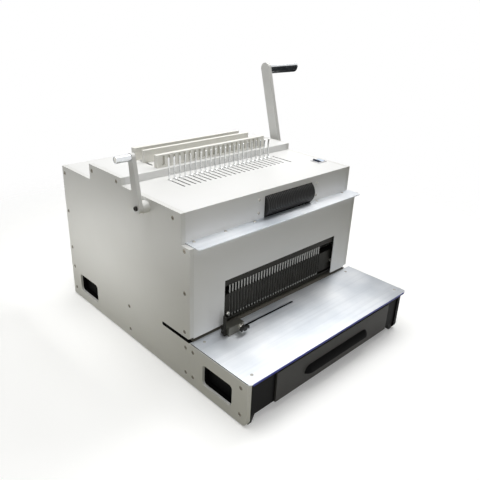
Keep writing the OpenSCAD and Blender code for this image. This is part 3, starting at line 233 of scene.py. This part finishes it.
# Finishes of the record's material slots
finishes = {
    "painted_plate": powderCoatedSteel("powderCoatedPlate", "#E2E2DF", "#D8D8D4", seed=0.0),
    "painted_cover": powderCoatedSteel("powderCoatedCover", "#E8E8E7", "#E1E1DE", seed=3.0),
    "painted_bar": powderCoatedSteel("creamPaintedBar", "#EBEAE3", "#E2E0D8", seed=7.0),
    "stainless_sheet": brushedStainless("brushedStainlessSheet", seed=1.0),
    "bright_steel": groundSteel("groundToolSteel", "#C4C4C0", "#A9A9A4", smooth=0.25, rough=0.4),
    "dark_steel": blackOxideSteel("blackOxideSteel"),
    "chrome": chromePlate("chromePlatedSteel"),
    # Nearly flat black, with only a faint sheen at low angles. It is also painted shade on the walls of the
    # side plates' paper slits and on the right base plate's front edge
    "black_panel": sprayedPaint("satinBlackEnamelAndShade", "#0A0A09", "#060606", pimple=1.6, rough=0.5,
                                strength=0.25, gloss=0.07),
    # Dark grey with a gritty skin
    "drawer_paint": sprayedPaint("texturedGreyPaint", "#3A3937", "#302F2D", pimple=1.8, rough=0.46,
                                 strength=0.35, gloss=0.22),
    "black_plastic": mouldedPlastic("mouldedBlackAbs", "#141413", "#0D0D0C", grain=1.2, rough=0.42, ior=1.53),
    # Smooth enough to show the lamps as soft spots
    "switch_plastic": mouldedPlastic("glossyNavyPolycarbonate", "#26324A", "#1B2436", grain=1.5, rough=0.22,
                                     ior=1.58),
    # Soft highlights along the ribs
    "roller_rubber": mouldedPlastic("ribbedNitrileRubber", "#1A1A19", "#101010", grain=1.4, rough=0.4,
                                    ior=1.52, gloss=0.38),
    "foot_rubber": mouldedPlastic("mouldedFootRubber", "#1F1F1E", "#161615", grain=1.6, rough=0.65, ior=1.52),
    # Warm dull yellow of pressed metal powder
    "bronze": groundSteel("sinteredBronze", "#B08D57", "#94713F", smooth=0.35, rough=0.5),
    # Coarse pimples of paint on a casting
    "motor_paint": sprayedPaint("castHammerPaint", "#5A6064", "#4A5054", pimple=2.5, rough=0.45, strength=0.4,
                                gloss=0.3),
}

# Finishes of single pieces and faces
extraFinishes = {
    # Zinc plate: bright, worn to satin on the sheet screws, dulled on the side screws
    "zinc": groundSteel("zincPlatedScrew", "#D9D8D2", "#BDBBB4", smooth=0.22, rough=0.36),
    "satinZinc": groundSteel("satinZincScrew", "#B4B2AB", "#9A9891", smooth=0.42, rough=0.56),
    "dullZinc": groundSteel("dullZincScrew", "#8E897E", "#716C62", smooth=0.34, rough=0.5),
    # Nickel on spring wire: the brightest metal here
    "hook": groundSteel("nickelledSpringSteel", "#F1F2F2", "#D2D4D5", smooth=0.14, rough=0.26),
    # A film of oil takes the shine down
    "pin": groundSteel("oiledPinSteel", "#A5A4A0", "#84837E", smooth=0.3, rough=0.45),
    # Dull grey of an unpolished casting
    "guide": groundSteel("castZincGuide", "#7C7B74", "#63625C", smooth=0.34, rough=0.5),
    # Thin dark skins with a weak sheen. The runner finish is dark as painted shade, so the inside of the body
    # looks dark through the hand-holds
    "runner": sprayedPaint("darkSheetPaintedShade", "#2B2B29", "#212120", pimple=2.2, rough=0.45, strength=0.2,
                           gloss=0.25),
    "die": sprayedPaint("dullOiledDie", "#7B776E", "#66625A", pimple=2.0, rough=0.5, strength=0.2, gloss=0.4),
    # Deep black that hardly answers the lamps; on the hand-hold pockets it is painted shade
    "handle": sprayedPaint("mattBlackLacquerAndPaintedShade", "#080808", "#050505", pimple=1.6, rough=0.6, strength=0.2,
                           gloss=0.06),
    "bezel": mouldedPlastic("mouldedWhiteAbs", "#DEDEE0", "#D4D4D6", grain=1.2, rough=0.4, ior=1.53),
    # Pale blue with a soft gloss, put on the rocker's top faces as a painted highlight
    "lens": mouldedPlastic("paleBluePaintedHighlight", "#C6D2E2", "#AFBED3", grain=1.4, rough=0.3, ior=1.49),
    # Bare torn metal, dark against the paint. It is also painted shade: in the slits of the top it stands for
    # the dark inside, and on the table's left edge for the shadow of the gap below it
    "cutEdgeAndShade": groundSteel("shearedEdgeAndPaintedShade", "#4B4A47", "#373634", smooth=0.5, rough=0.65),
    "film": mouldedPlastic("bluePolyethyleneFilm", "#2A37B0", "#1D2788", grain=1.5, rough=0.35, ior=1.51),
}
slotOf = {row["node"]: row["material_slot"] for row in frame["record"]["subparts"]}
print("materials made:", len(finishes) + len(extraFinishes))


# Rolled or broken edges on the solid pieces, in millimetres for each slot
edgeRadii = {
    "painted_plate": 0.7, "painted_cover": 0.3, "painted_bar": 0.5, "stainless_sheet": 0.4,
    "black_panel": 0.6, "drawer_paint": 0.8, "dark_steel": 0.3, "bright_steel": 0.2, "chrome": 0.25,
    "switch_plastic": 0.4, "black_plastic": 0.4, "motor_paint": 1.0, "foot_rubber": 0.8,
}
edgeLook = {"sharpAngle": 32, "bevelAngle": 40, "segments": 2}
for name, piece in nodes.items():
    slotName = slotOf[name]
    piece.data.materials.clear()
    piece.data.materials.append(finishes[slotName])
    piece.data.shade_smooth()
    piece.data.set_sharp_from_angle(angle=math.radians(edgeLook["sharpAngle"]))
    if slotName in edgeRadii:
        bevel = piece.modifiers.new("brokenEdge", "BEVEL")
        bevel.width = edgeRadii[slotName] * mm
        bevel.segments = edgeLook["segments"]
        bevel.limit_method = "ANGLE"
        bevel.angle_limit = math.radians(edgeLook["bevelAngle"])

# Solid pieces that look different from the rest of their slot
# The drawer runners and the tray are dark as painted shade inside the body
ownFinish = {"comb_hooks": "hook", "punch_pins": "pin", "die_plate": "die", "left_grip_bolt": "zinc",
             "drawer_runners": "runner", "chip_drawer": "runner", "drawer_handle": "handle",
             "switch_bezel": "bezel"}
for name, finish in ownFinish.items():
    nodes[name].data.materials[0] = extraFinishes[finish]


def refinishFaces(name, finish, chosen):
    data = nodes[name].data
    data.materials.append(finish)
    for face in data.polygons:
        if chosen(face):
            face.material_index = len(data.materials) - 1


# How far a face's normal may lean and still count as one side of a piece
lean = {"none": 0.1, "facing": 0.9, "top": 0.8, "front": 0.3}
slitZone = {"side": 60, "front": 60, "back": 20, "thick": 6}
paperSlit = {"low": 97, "high": 106, "deep": 96}
guideFence = {"thick": 3.2}
frontCorner = {"deep": 12}
slitLow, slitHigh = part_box("comb_hooks")
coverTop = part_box("top_cover")[1].z
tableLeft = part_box("table_plate")[0].x
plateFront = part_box("left_side_plate")[0].y
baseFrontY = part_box("right_base_plate")[0].y
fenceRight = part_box("side_guide")[0].x + guideFence["thick"] * mm


def inTopSlit(face):
    v = slitZone
    c = face.center
    return (abs(face.normal.z) < lean["none"] and coverTop - v["thick"] * mm < c.z < coverTop
            and slitLow.x - v["side"] * mm < c.x < slitHigh.x + v["side"] * mm
            and slitLow.y - v["front"] * mm < c.y < slitHigh.y + v["back"] * mm)


def inPaperSlit(face):
    v = paperSlit
    c = face.center
    return (abs(face.normal.x) < lean["none"] and v["low"] * mm < c.z < v["high"] * mm
            and c.y < plateFront + v["deep"] * mm)


def atFrontEdge(face):
    return face.normal.y < -lean["front"] and face.center.y < baseFrontY + frontCorner["deep"] * mm


# Painted shade: the walls of the slits in the top and the sides are made dark for the dark inside, and the
# left end of the table, over its own bare cut edge, for the shadow of the gap under it.
# The inner faces of the base plates are black, as the frame between them, and the front edge of the right one
# is black as painted shade.
# The rocker's top faces take a pale blue as a painted highlight
refinishFaces("rocker", extraFinishes["lens"], lambda face: face.normal.z > lean["top"])
refinishFaces("top_cover", extraFinishes["cutEdgeAndShade"], inTopSlit)
refinishFaces("table_plate", extraFinishes["cutEdgeAndShade"],
              lambda face: face.normal.x < -lean["facing"] and face.center.x < tableLeft + mm)
# The walls of the paper slits in the side plates are black as painted shade
for name in ("left_side_plate", "right_side_plate"):
    refinishFaces(name, finishes["black_panel"], inPaperSlit)
refinishFaces("left_base_plate", finishes["black_panel"], lambda face: face.normal.x > lean["facing"])
# The front edge of the right base plate is black as painted shade; its inner faces are black as the frame
refinishFaces("right_base_plate", finishes["black_panel"],
              lambda face: face.normal.x < -lean["facing"] or atFrontEdge(face))
refinishFaces("side_guide", extraFinishes["guide"], lambda face: face.center.x > fenceRight)
print("finishes put on the solid pieces")


def makePiece(name, mesh, material, body, replaced=()):
    data = bpy.data.meshes.new(name)
    mesh.to_mesh(data)
    mesh.free()
    data.materials.append(material)
    data.shade_smooth()
    data.set_sharp_from_angle(angle=math.radians(edgeLook["sharpAngle"]))
    piece = bpy.data.objects.new(name, data)
    bpy.context.scene.collection.objects.link(piece)
    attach(piece, body)
    if replaced:
        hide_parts(*replaced)


def joinRings(mesh, rings):
    for lower, upper in zip(rings, rings[1:]):
        for i in range(len(lower)):
            j = (i + 1) % len(lower)
            mesh.faces.new((lower[i], lower[j], upper[j], upper[i]))


# A turned form about an axis: each loop is a height, a radius and a side count, where 0 is round
def addTurned(mesh, start, axis, loops, segments=24):
    turn = Vector(axis).to_track_quat("Z", "Y").to_matrix()
    rings = []
    for height, radius, sides in loops:
        ring = []
        for i in range(segments):
            angle = 2 * math.pi * i / segments
            reach = radius
            if sides:
                step = 2 * math.pi / sides
                reach = radius * math.cos(step / 2) / math.cos((angle % step) - step / 2)
            local = Vector((reach * math.cos(angle), reach * math.sin(angle), height))
            ring.append(mesh.verts.new(Vector(start) + turn @ (local * mm)))
        rings.append(ring)
    joinRings(mesh, rings)
    mesh.faces.new(rings[-1])
    mesh.faces.new(list(reversed(rings[0])))


def addBlock(mesh, low, high):
    size = Vector(high) - Vector(low)
    middle = (Vector(high) + Vector(low)) / 2
    bmesh.ops.create_cube(mesh, size=1.0, matrix=Matrix.Translation(middle) @ Matrix.Diagonal(size).to_4x4())


# Places are read from the solids: distances from the middle of the body and from its back, in millimetres
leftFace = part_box("left_side_plate")[0].x
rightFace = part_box("right_side_plate")[1].x
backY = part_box("left_side_plate")[1].y
bothSides = ((leftFace, -1), (rightFace, 1))
hexagon = 6


def fromMiddle(x):
    return (leftFace + rightFace) / 2 + x * mm


def fromBack(depth):
    return backY - depth * mm


# Socket screws of the side plates: each place is a distance from the back and a height
sideScrew = {"radius": 4.2, "socket": 2.2, "deep": 2.6, "proud": -0.1, "stem": 4, "edgeTall": 0.5,
             "edgeIn": 0.6, "lip": 0.3,
             "places": ((10, 135), (10, 232), (10, 327), (143, 365), (242, 367), (433, 347), (467, 292),
                        (467, 204), (466, 117), (13.5, 22), (13.5, 82), (266, 22), (266, 82), (469, 22),
                        (469, 82), (491.5, 22), (491.5, 82), (628, 22), (628, 82))}
v = sideScrew
head = [(-v["stem"], v["radius"], 0), (v["proud"] - v["edgeTall"], v["radius"], 0),
        (v["proud"], v["radius"] - v["edgeIn"], 0), (v["proud"], v["socket"] + v["lip"], hexagon),
        (v["proud"] - v["lip"], v["socket"], hexagon), (v["proud"] - v["deep"], v["socket"], hexagon)]
mesh = bmesh.new()
for face, side in bothSides:
    for depth, height in v["places"]:
        addTurned(mesh, (face, fromBack(depth), height * mm), (side, 0, 0), head)
makePiece("sideScrewHeads", mesh, extraFinishes["dullZinc"], "frame", ["side_screws"])

# Black pockets in the four hand-holds as painted shade, so that they look dark inside: a rounded cup each,
# set back from the face of the plate
holdPocket = {"wide": 84, "tall": 47, "corner": 8, "cornerSteps": 6, "play": 0.1, "wall": 1.2, "setBack": 5.5,
              "deep": 17, "height": 48, "fromEnd": 82}
v = holdPocket
cornerSigns = ((1, 1), (-1, 1), (-1, -1), (1, -1))
mesh = bmesh.new()
for face, side in bothSides:
    for y in (backY - v["fromEnd"] * mm, baseFrontY + v["fromEnd"] * mm):
        rings = []
        for shrink, depth in ((v["wall"], v["deep"] - v["wall"]), (v["wall"], v["setBack"]),
                              (v["play"], v["setBack"]), (v["play"], v["deep"])):
            ring = []
            radius = v["corner"] - shrink
            for corner, (signY, signZ) in enumerate(cornerSigns):
                middleY = signY * (v["wide"] / 2 - v["corner"])
                middleZ = v["height"] + signZ * (v["tall"] / 2 - v["corner"])
                for i in range(v["cornerSteps"] + 1):
                    angle = math.radians(90 * (corner + i / v["cornerSteps"]))
                    ring.append(mesh.verts.new((face - side * depth * mm,
                                                y + (middleY + radius * math.cos(angle)) * mm,
                                                (middleZ + radius * math.sin(angle)) * mm)))
            rings.append(ring)
        joinRings(mesh, rings)
        mesh.faces.new(rings[0])
        mesh.faces.new(rings[-1])
bmesh.ops.recalc_face_normals(mesh, faces=mesh.faces)
makePiece("handHoldShadePockets", mesh, extraFinishes["handle"], "frame", ())

# Domed screws on the shelf and the upper front, low flat ones in the table. Places are distances from the
# middle, with a distance from the back or a height.
smallScrew = {"radius": 3.2, "socket": 1.3, "sunk": 0.5,
              "dome": 1.6, "rim": 0.3, "shoulder": 1.1, "shoulderShare": 0.82, "domeLip": 0.4,
              "domeFloor": 0.5,
              "flat": 0.5, "lip": 0.2, "flatFloor": 0.1,
              "shelfX": (-228, -149, -69, 132, 228), "shelfDepth": 463,
              "table": ((-229, 630), (250, 629), (-229, 498), (236, 498)),
              "front": ((-54, 345), (-54, 316), (132, 345), (132, 316))}
v = smallScrew
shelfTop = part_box("front_shelf")[1].z
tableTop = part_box("table_plate")[1].z
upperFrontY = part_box("top_cover")[0].y
dome = [(-v["sunk"], v["radius"], 0), (v["rim"], v["radius"], 0),
        (v["shoulder"], v["radius"] * v["shoulderShare"], 0),
        (v["dome"], v["socket"] + v["domeLip"], hexagon),
        (v["dome"] - v["lip"], v["socket"], hexagon), (v["domeFloor"], v["socket"], hexagon)]
flat = [(-v["sunk"], v["radius"], 0), (v["flat"] - v["lip"], v["radius"], 0),
        (v["flat"], v["radius"] - v["lip"], 0), (v["flat"], v["socket"] + v["lip"], hexagon),
        (v["flatFloor"], v["socket"], hexagon)]
mesh = bmesh.new()
for x in v["shelfX"]:
    addTurned(mesh, (fromMiddle(x), fromBack(v["shelfDepth"]), shelfTop), (0, 0, 1), dome)
for x, depth in v["table"]:
    addTurned(mesh, (fromMiddle(x), fromBack(depth), tableTop), (0, 0, 1), flat)
for x, height in v["front"]:
    addTurned(mesh, (fromMiddle(x), upperFrontY, height * mm), (0, -1, 0), dome)
makePiece("sheetScrews", mesh, extraFinishes["satinZinc"], "frame")
print("screws and pockets made")

# Blue protective film left under the front edge of the table
filmEdge = {"below": 3.2, "above": 1.2, "proud": 0.4, "inset": 8}
v = filmEdge
tableLow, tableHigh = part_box("table_plate")
mesh = bmesh.new()
addBlock(mesh, (tableLow.x + v["inset"] * mm, tableLow.y - v["proud"] * mm, tableLow.z - v["below"] * mm),
         (tableHigh.x - v["inset"] * mm, tableLow.y, tableLow.z + v["above"] * mm))
makePiece("tableFilmEdge", mesh, extraFinishes["film"], "frame")

# Socket screws of the levers
leverScrew = {"leftSocket": 2.5, "leftDeep": 2.2, "leftTall": 4.0, "rightSocket": 5.0, "rightDeep": 3.5,
              "edge": 0.6, "lip": 0.3, "segments": 36}
v = leverScrew
for name, side, hand, node in (("leftLeverSocketScrew", -1, "left", "left_lever_screw"),
                               ("rightLeverSocketScrew", 1, "right", "right_lever_screw")):
    low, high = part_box(node)
    middle = (low + high) / 2
    face = low.x if side < 0 else high.x
    radius = (high.z - low.z) / 2 / mm
    tall = v["leftTall"] if side < 0 else (high.x - low.x) / mm
    socket = v[hand + "Socket"]
    mesh = bmesh.new()
    addTurned(mesh, (face, middle.y, middle.z), (side, 0, 0),
              [(-tall, radius, 0), (-v["edge"], radius, 0), (0, radius - v["edge"], 0),
               (0, socket + v["lip"], hexagon), (-v["lip"], socket, hexagon),
               (-v[hand + "Deep"], socket, hexagon)], v["segments"])
    makePiece(name, mesh, finishes["dark_steel"], hand + "_lever", [node])

# Cap screws at the ends of the pin guide: each place is a distance from the middle and a height
capScrew = {"radius": 4.2, "tall": 5.0, "socket": 2.0, "sunk": 1, "edge": 0.6, "lip": 0.2, "deep": 2.5,
            "places": ((-150, 124), (195, 138))}
v = capScrew
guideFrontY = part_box("guide_block")[0].y
mesh = bmesh.new()
for x, height in v["places"]:
    addTurned(mesh, (fromMiddle(x), guideFrontY, height * mm), (0, -1, 0),
              [(-v["sunk"], v["radius"], 0), (v["tall"] - v["edge"], v["radius"], 0),
               (v["tall"], v["radius"] - v["edge"], 0), (v["tall"], v["socket"] + v["lip"], hexagon),
               (v["tall"] - v["deep"], v["socket"], hexagon)])
makePiece("guideCapScrews", mesh, extraFinishes["zinc"], "frame")

# Clamp of the paper guide: a bright collar and a wing knob. Each wing ring is a share of the reach, a half
# height, where it starts in front of the block, and how far it stops short of the knob's front.
guideClamp = {"stemRadius": 3.0, "stemSunk": 4, "stemOut": 0.4, "collarRadius": 6.6, "collarTall": 7.0,
              "collarEdge": 0.5, "hubRadius": 5.6, "hubEdge": 1.2, "hubIn": 0.2, "segments": 32,
              "wingSoft": 1.17, "wingStep": 1,
              "wingRings": ((0.2, 2.73, 8.5, 0.8), (0.62, 2.457, 8.8, 0.3), (0.88, 3.5, 9.2, 0),
                            (1.0, 2.45, 10.2, 1.4))}
v = guideClamp
low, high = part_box("guide_knob")
middle = (low + high) / 2
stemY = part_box("side_guide")[0].y
stem = (middle.x, stemY, middle.z)
mesh = bmesh.new()
addTurned(mesh, stem, (0, -1, 0),
          [(-v["stemSunk"], v["stemRadius"], 0), (v["stemOut"], v["stemRadius"], 0),
           (v["stemOut"], v["collarRadius"], 0), (v["collarTall"] - v["collarEdge"], v["collarRadius"], 0),
           (v["collarTall"], v["collarRadius"] - v["collarEdge"], 0)], v["segments"])
makePiece("guideCollar", mesh, extraFinishes["zinc"], "knob")
tall = (stemY - low.y) / mm
wingHalf = (high.x - low.x) / 2 / mm
mesh = bmesh.new()
addTurned(mesh, stem, (0, -1, 0),
          [(v["collarTall"] - v["hubIn"], v["hubRadius"], 0), (tall - v["hubEdge"], v["hubRadius"], 0),
           (tall, v["hubRadius"] - v["hubEdge"], 0)], v["segments"])
for side in (-1, 1):
    rings = []
    for share, half, near, short in v["wingRings"]:
        x = middle.x + side * share * wingHalf * mm
        far = tall - short
        nearIn = near + v["wingStep"]
        farIn = far - v["wingStep"]
        flatHalf = half - v["wingSoft"]
        ring = ((near, -flatHalf), (nearIn, -half), (farIn, -half), (far, -flatHalf),
                (far, flatHalf), (farIn, half), (nearIn, half), (near, flatHalf))
        rings.append([mesh.verts.new((x, stemY - out * mm, middle.z + up * mm)) for out, up in ring])
    joinRings(mesh, rings)
    mesh.faces.new(rings[0])
    mesh.faces.new(rings[-1])
bmesh.ops.recalc_face_normals(mesh, faces=mesh.faces)
makePiece("guideWingKnob", mesh, finishes["black_plastic"], "knob", ["guide_knob"])

# Blades of the power inlet: the outer two low, the middle one high
inletBlade = {"wide": 2.0, "tall": 6.0, "long": 14.0, "rootIn": 18.5,
              "places": ((-7.0, -1.5), (7.0, -1.5), (0, 2.5))}
v = inletBlade
low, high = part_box("power_inlet")
middle = (low + high) / 2
rootY = high.y - v["rootIn"] * mm
tipY = high.y - (v["rootIn"] - v["long"]) * mm
mesh = bmesh.new()
for dx, dz in v["places"]:
    addBlock(mesh, (middle.x + (dx - v["wide"] / 2) * mm, rootY, middle.z + (dz - v["tall"] / 2) * mm),
             (middle.x + (dx + v["wide"] / 2) * mm, tipY, middle.z + (dz + v["tall"] / 2) * mm))
makePiece("inletBlades", mesh, extraFinishes["zinc"], "frame")
print("film, lever screws, guide clamp and inlet made")

# Camera at the photographed angle. The focal length is in pixels of the square picture.
camera = {"place": (-0.81908, -0.81699, 0.70193), "azimuth": -44.43, "elevation": 24.22, "roll": 2.38,
          "focalPixels": 518.47, "imagePixels": 480, "sensor": 36.0}
v = camera
azimuth, elevation, roll = (math.radians(v[angle]) for angle in ("azimuth", "elevation", "roll"))
back = Vector((math.sin(azimuth) * math.cos(elevation), -math.cos(azimuth) * math.cos(elevation),
               math.sin(elevation)))
right = (-back).cross(Vector((0, 0, 1))).normalized()
up = right.cross(-back)
tiltedRight = right * math.cos(roll) + up * math.sin(roll)
tiltedUp = -right * math.sin(roll) + up * math.cos(roll)
lens = bpy.data.cameras.new("photoLens")
lens.sensor_width = v["sensor"]
lens.lens = v["focalPixels"] / v["imagePixels"] * v["sensor"]
viewer = bpy.data.objects.new("photoCamera", lens)
viewer.matrix_world = Matrix((
    (tiltedRight.x, tiltedUp.x, back.x, v["place"][0]),
    (tiltedRight.y, tiltedUp.y, back.y, v["place"][1]),
    (tiltedRight.z, tiltedUp.z, back.z, v["place"][2]),
    (0, 0, 0, 1)))
bpy.context.scene.collection.objects.link(viewer)
bpy.context.scene.camera = viewer
print("camera placed")


def addStageMesh(name, mesh, material):
    data = bpy.data.meshes.new(name)
    mesh.to_mesh(data)
    mesh.free()
    data.materials.append(material)
    piece = bpy.data.objects.new(name, data)
    bpy.context.scene.collection.objects.link(piece)
    return piece


# Rays that see the room as it looks: from the camera, or by way of something shiny or clear
def seenRays(tree):
    path = addNode(tree, "ShaderNodeLightPath")
    shinyOrClear = addNode(tree, "ShaderNodeMath", {"operation": "MAXIMUM"}, {},
                           {0: path.outputs["Is Glossy Ray"], 1: path.outputs["Is Transmission Ray"]})
    seen = addNode(tree, "ShaderNodeMath", {"operation": "MAXIMUM"}, {},
                   {0: path.outputs["Is Camera Ray"], 1: shinyOrClear.outputs[0]})
    return seen.outputs[0]


# Pale round floor that keeps the shadow and fades into the white room. Where it only lights
# the object it acts as a warm bench, as the beige lower edges in the photo show.
floorValues = {"radius": 1.9, "segments": 96, "drop": 0.3, "fadeFrom": 0.75, "fadeTo": 1.35,
               "colour": "#F2F2F0", "bounce": "#68611E", "glow": 0.22}
v = floorValues
paper = bpy.data.materials.new("mattWhitePaper")
paper.use_nodes = True
tree = paper.node_tree
tree.nodes.clear()
seen = seenRays(tree)
glow = addNode(tree, "ShaderNodeMath", {"operation": "MULTIPLY"}, {1: v["glow"]}, {0: seen})
tone = addNode(tree, "ShaderNodeMix", {"data_type": "RGBA"},
               {6: hexLinear(v["bounce"]), 7: hexLinear(v["colour"])}, {0: seen})
matt = addNode(tree, "ShaderNodeBsdfDiffuse", {}, {}, {"Color": tone.outputs[2]})
lit = addNode(tree, "ShaderNodeEmission", {}, {"Color": (1, 1, 1, 1)}, {"Strength": glow.outputs[0]})
both = addNode(tree, "ShaderNodeAddShader", {}, {}, {0: matt.outputs[0], 1: lit.outputs[0]})
place = addNode(tree, "ShaderNodeTexCoord").outputs["Object"]
reach = addNode(tree, "ShaderNodeVectorMath", {"operation": "LENGTH"}, {}, {0: place})
fade = addNode(tree, "ShaderNodeMapRange", {"interpolation_type": "SMOOTHSTEP"},
               {"From Min": v["fadeFrom"], "From Max": v["fadeTo"]}, {"Value": reach.outputs["Value"]})
clear = addNode(tree, "ShaderNodeBsdfTransparent")
blend = addNode(tree, "ShaderNodeMixShader", {}, {},
                {0: fade.outputs["Result"], 1: both.outputs[0], 2: clear.outputs[0]})
addNode(tree, "ShaderNodeOutputMaterial", {}, {}, {"Surface": blend.outputs[0]})
mesh = bmesh.new()
bmesh.ops.create_circle(mesh, cap_ends=True, segments=v["segments"], radius=v["radius"],
                        matrix=Matrix.Translation((0, 0, -v["drop"] * mm)))
floor = addStageMesh("studioFloor", mesh, paper)

# White room: full white where it is seen, softer as a light
roomValues = {"ambient": 0.17}
world = bpy.data.worlds.new("whiteRoom")
bpy.context.scene.world = world
world.use_nodes = True
tree = world.node_tree
tree.nodes.clear()
level = addNode(tree, "ShaderNodeMapRange", {}, {"To Min": roomValues["ambient"], "To Max": 1.0},
                {"Value": seenRays(tree)})
sky = addNode(tree, "ShaderNodeBackground", {}, {"Color": (1, 1, 1, 1)},
              {"Strength": level.outputs["Result"]})
addNode(tree, "ShaderNodeOutputWorld", {}, {}, {"Surface": sky.outputs[0]})

# Dark flag to the right, seen only in reflections: it gives the bright grip its dark lower side.
# Each strip runs from one depth to another, up to its own height, in metres.
flagValues = {"x": 0.8, "strips": ((-0.75, -0.16, 0.8), (-0.16, 0.4, 0.58), (0.4, 0.9, 0.45)),
              "colour": "#24272C", "rough": 1.0}
v = flagValues
velvet = bpy.data.materials.new("mattBlackVelvet")
velvet.use_nodes = True
surface = velvet.node_tree.nodes["Principled BSDF"]
surface.inputs["Base Color"].default_value = hexLinear(v["colour"])
surface.inputs["Roughness"].default_value = v["rough"]
mesh = bmesh.new()
for fromY, toY, top in v["strips"]:
    corners = ((fromY, 0), (toY, 0), (toY, top), (fromY, top))
    mesh.faces.new([mesh.verts.new((v["x"], y, z)) for y, z in corners])
flag = addStageMesh("darkFlag", mesh, velvet)
flag.visible_camera = False
flag.visible_diffuse = False
flag.visible_shadow = False

# Soft studio lamps, in metres and watts. A lamp with its own height is a strip.
lamps = {
    "overheadSoftbox": {"place": (-0.12, 0.12, 2.3), "aim": (0, 0, 0.2), "size": 2.0, "watts": 39.5},
    "rightSoftbox": {"place": (1.5, 0.075, 2.1), "aim": (-0.1, -0.25, 0.1), "size": 0.68, "watts": 14.6},
    "leftStrip": {"place": (-0.5, 0.22, 0.16), "aim": (-0.3, 0.22, 0.22), "size": 0.46, "tall": 0.03,
                  "watts": 0.36},
    "frontFill": {"place": (-0.5, -0.62, 0.3), "aim": (-0.22, -0.16, 0.2), "size": 0.25, "watts": 0.5},
    "backFill": {"place": (1.5, 1.7, 0.9), "aim": (0, 0, 0.2), "size": 1.2, "watts": 5},
}
for name, v in lamps.items():
    light = bpy.data.lights.new(name, "AREA")
    light.size = v["size"]
    if "tall" in v:
        light.shape = "RECTANGLE"
        light.size_y = v["tall"]
    light.energy = v["watts"]
    lamp = bpy.data.objects.new(name, light)
    lamp.location = v["place"]
    lamp.visible_camera = False
    lamp.rotation_euler = (Vector(v["aim"]) - Vector(v["place"])).to_track_quat("-Z", "Y").to_euler()
    bpy.context.scene.collection.objects.link(lamp)
bpy.context.scene.view_settings.view_transform = "Standard"
print("floor, room and lamps set")
